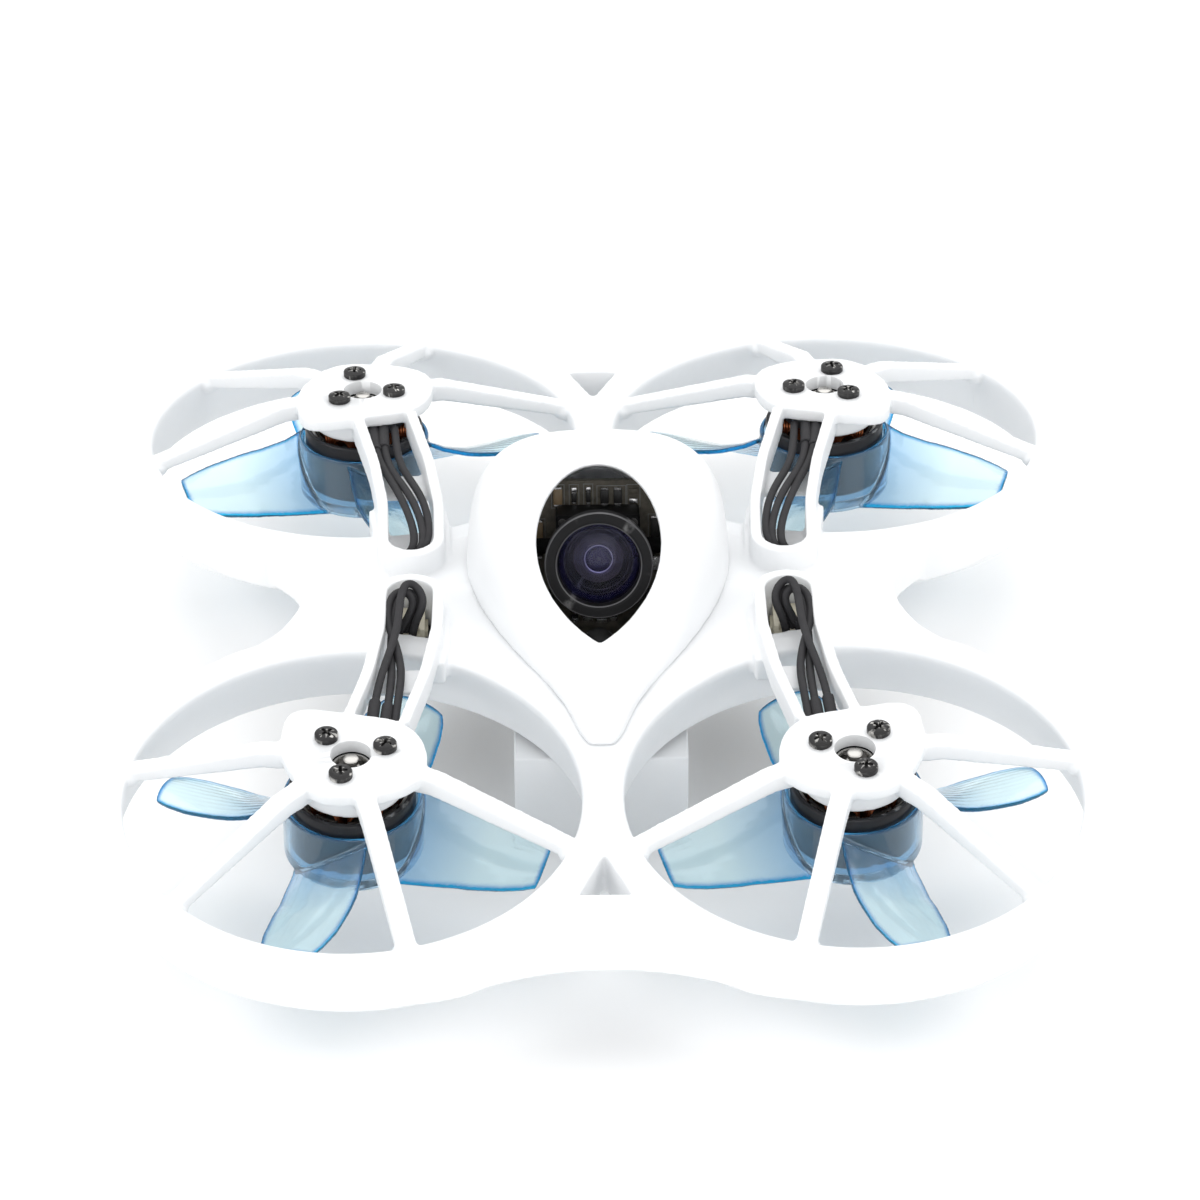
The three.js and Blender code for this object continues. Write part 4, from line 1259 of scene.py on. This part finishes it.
# flight controller under the deck
controllerParts = [
    (-2.4, 0.6, 0.32, 0.3, 0.5, "chipResin"), (-1.1, 0.55, 0.5, 0.28, 0.45, "solder"),
    (0.35, 0.5, 0.6, 0.3, 0.5, "chipResin"), (1.5, 0.55, 0.45, 0.28, 0.45, "solder"),
    (0, 6.2, 2.6, 2.6, 0.8, "chipResin"), (-6.2, 5.4, 1.4, 1.4, 0.7, "chipResin"),
    (6.2, 5.4, 1.4, 1.4, 0.7, "chipResin"), (-10.5, 0, 1.6, 1.6, 0.8, "chipResin"),
    (10.5, 0, 1.6, 1.6, 0.8, "chipResin"), (-13.6, 3.2, 0.5, 0.9, 0.7, "tanCeramic"),
    (13.6, 3.2, 0.5, 0.9, 0.7, "tanCeramic"), (-13.6, -3.2, 0.5, 0.9, 0.7, "tanCeramic"),
    (13.6, -3.2, 0.5, 0.9, 0.7, "tanCeramic"), (-6.5, -6.6, 1.1, 1.1, 0.6, "chipResin"),
    (6.5, -6.6, 1.1, 1.1, 0.6, "chipResin"), (-17, 0, 0.8, 0.5, 0.5, "solder"), (17, 0, 0.8, 0.5, 0.5, "solder"),
]


def makeController():
    low, high = [[value / mm for value in corner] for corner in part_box("flight_controller")]
    half = high[0]
    front = [(-half, -5.8), (-15, -7.2), (-8, -10.6), (8, -10.6), (15, -7.2), (half, -5.8)]
    outline = softCorners(front + [(-x, -y) for x, y in front], 0.7, 4)
    board = coated(bevelled(plate(outline, low[2], high[2], "controller"), 0.07 * mm, 1), "blackMask")
    parts = [board] + mountedParts(controllerParts, high[2])
    ring = spun([(1.35, high[2] - 0.02), (1.5, high[2] - 0.02), (1.5, high[2] + 0.05), (1.35, high[2] + 0.05)],
                "printRing", 48)
    dome = ball((0, 0, high[2]), (1.25, 1.25, 0.9), "dome", 32)
    for piece, finish in ((ring, "greyPrint"), (dome, "greyRubber")):
        piece.data.transform(Matrix.Translation((0, -2.7 * mm, 0)))
        parts.append(coated(rounded(piece), finish))
    board = join(parts, "populated_controller")
    finishPiece(board, "airframe", None, "board", "flight_controller")


makeController()
print("controller done")


def softCad(name, newName, width, slot, body, finish):
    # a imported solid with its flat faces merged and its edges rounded
    obj = cadCopy(name, newName)
    editAll(obj)
    bpy.ops.mesh.dissolve_limited(angle_limit=math.radians(1))
    closeEdit()
    bevelled(obj, width * mm, 3, 30)
    return finishPiece(coated(obj, finish), body, None, slot, name)


batteryValues = {"corner": 1.5, "capLength": 1.8, "tapeFrom": 17.5, "tapeTo": 20.5, "tapeProud": 0.07,
                 "seam": 0.25}


def taped(obj, width):
    # rounds only the edges that run along the pack
    editAll(obj)
    bpy.ops.mesh.select_all(action="DESELECT")
    bpy.ops.object.mode_set(mode="OBJECT")
    for edge in obj.data.edges:
        start, end = [obj.data.vertices[i].co for i in edge.vertices]
        edge.select = abs(start.y - end.y) > 0.0001
    bpy.ops.object.mode_set(mode="EDIT")
    bpy.ops.mesh.select_mode(type="EDGE")
    bpy.ops.mesh.bevel(offset=width * mm, segments=5, affect="EDGES")
    bpy.ops.mesh.select_mode(type="VERT")
    closeEdit()
    return rounded(obj, 40)


def makeBattery():
    values = batteryValues
    low, high = [[value / mm for value in corner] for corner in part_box("battery")]
    end = high[1] - values["capLength"]
    cell = box(low, (high[0], end, high[2]), "cell")
    cell = bevelled(cell, values["corner"] * mm, 5, 30)
    subdivided = cell.modifiers.new("even", "REMESH")
    subdivided.mode = "VOXEL"
    subdivided.voxel_size = 0.35 * mm
    applyAll(cell)
    middleZ = (low[2] + high[2]) / 2
    for vertex in cell.data.vertices:
        x, y, z = vertex.co / mm
        pull = math.exp(-((z - middleZ) / 0.5) ** 2) * values["seam"]
        if abs(x) > high[0] - 0.8:
            vertex.co.x -= math.copysign(pull * mm, x)
        if y < low[1] + 0.8 or y > end - 0.8:
            vertex.co.y += pull * mm * (1 if y < 0 else -1)
    thin = cell.modifiers.new("thin", "DECIMATE")
    thin.ratio = 0.4
    applyAll(cell)
    pieces = [coated(rounded(cell, 60), "shrinkWrap")]
    proud = values["tapeProud"]
    tape = box((low[0] - proud, values["tapeFrom"], low[2] - proud), (high[0] + proud, values["tapeTo"], high[2] + proud))
    pieces.append(coated(taped(tape, values["corner"] - 0.05), "amberTape"))
    cap = box((-4.2, end - 0.6, low[2] + 1.0), (4.2, high[1], high[2] - 1.0), "cap")
    for x in (-2.1, 2.1):
        hole = rod(0, 0, -1.4, 2, 0.8, 24)
        hole.data.transform(Matrix.Translation((x * mm, high[1] * mm, middleZ * mm))
                            @ Matrix.Rotation(math.radians(-90), 4, "X"))
        cut(cap, hole)
    pieces.append(coated(bevelled(cap, 0.25 * mm, 3, 30), "creamNylon"))
    finishPiece(join(pieces, "wrapped_battery"), "battery_pack", None, "battery", "battery")


softCad("battery_tray", "moulded_tray", 0.35, "frame", "airframe", "whiteNylon")
softCad("camera_mount", "moulded_mount", 0.18, "frame", "airframe", "whiteNylon")
makeBattery()
print("tray, mount and battery done")
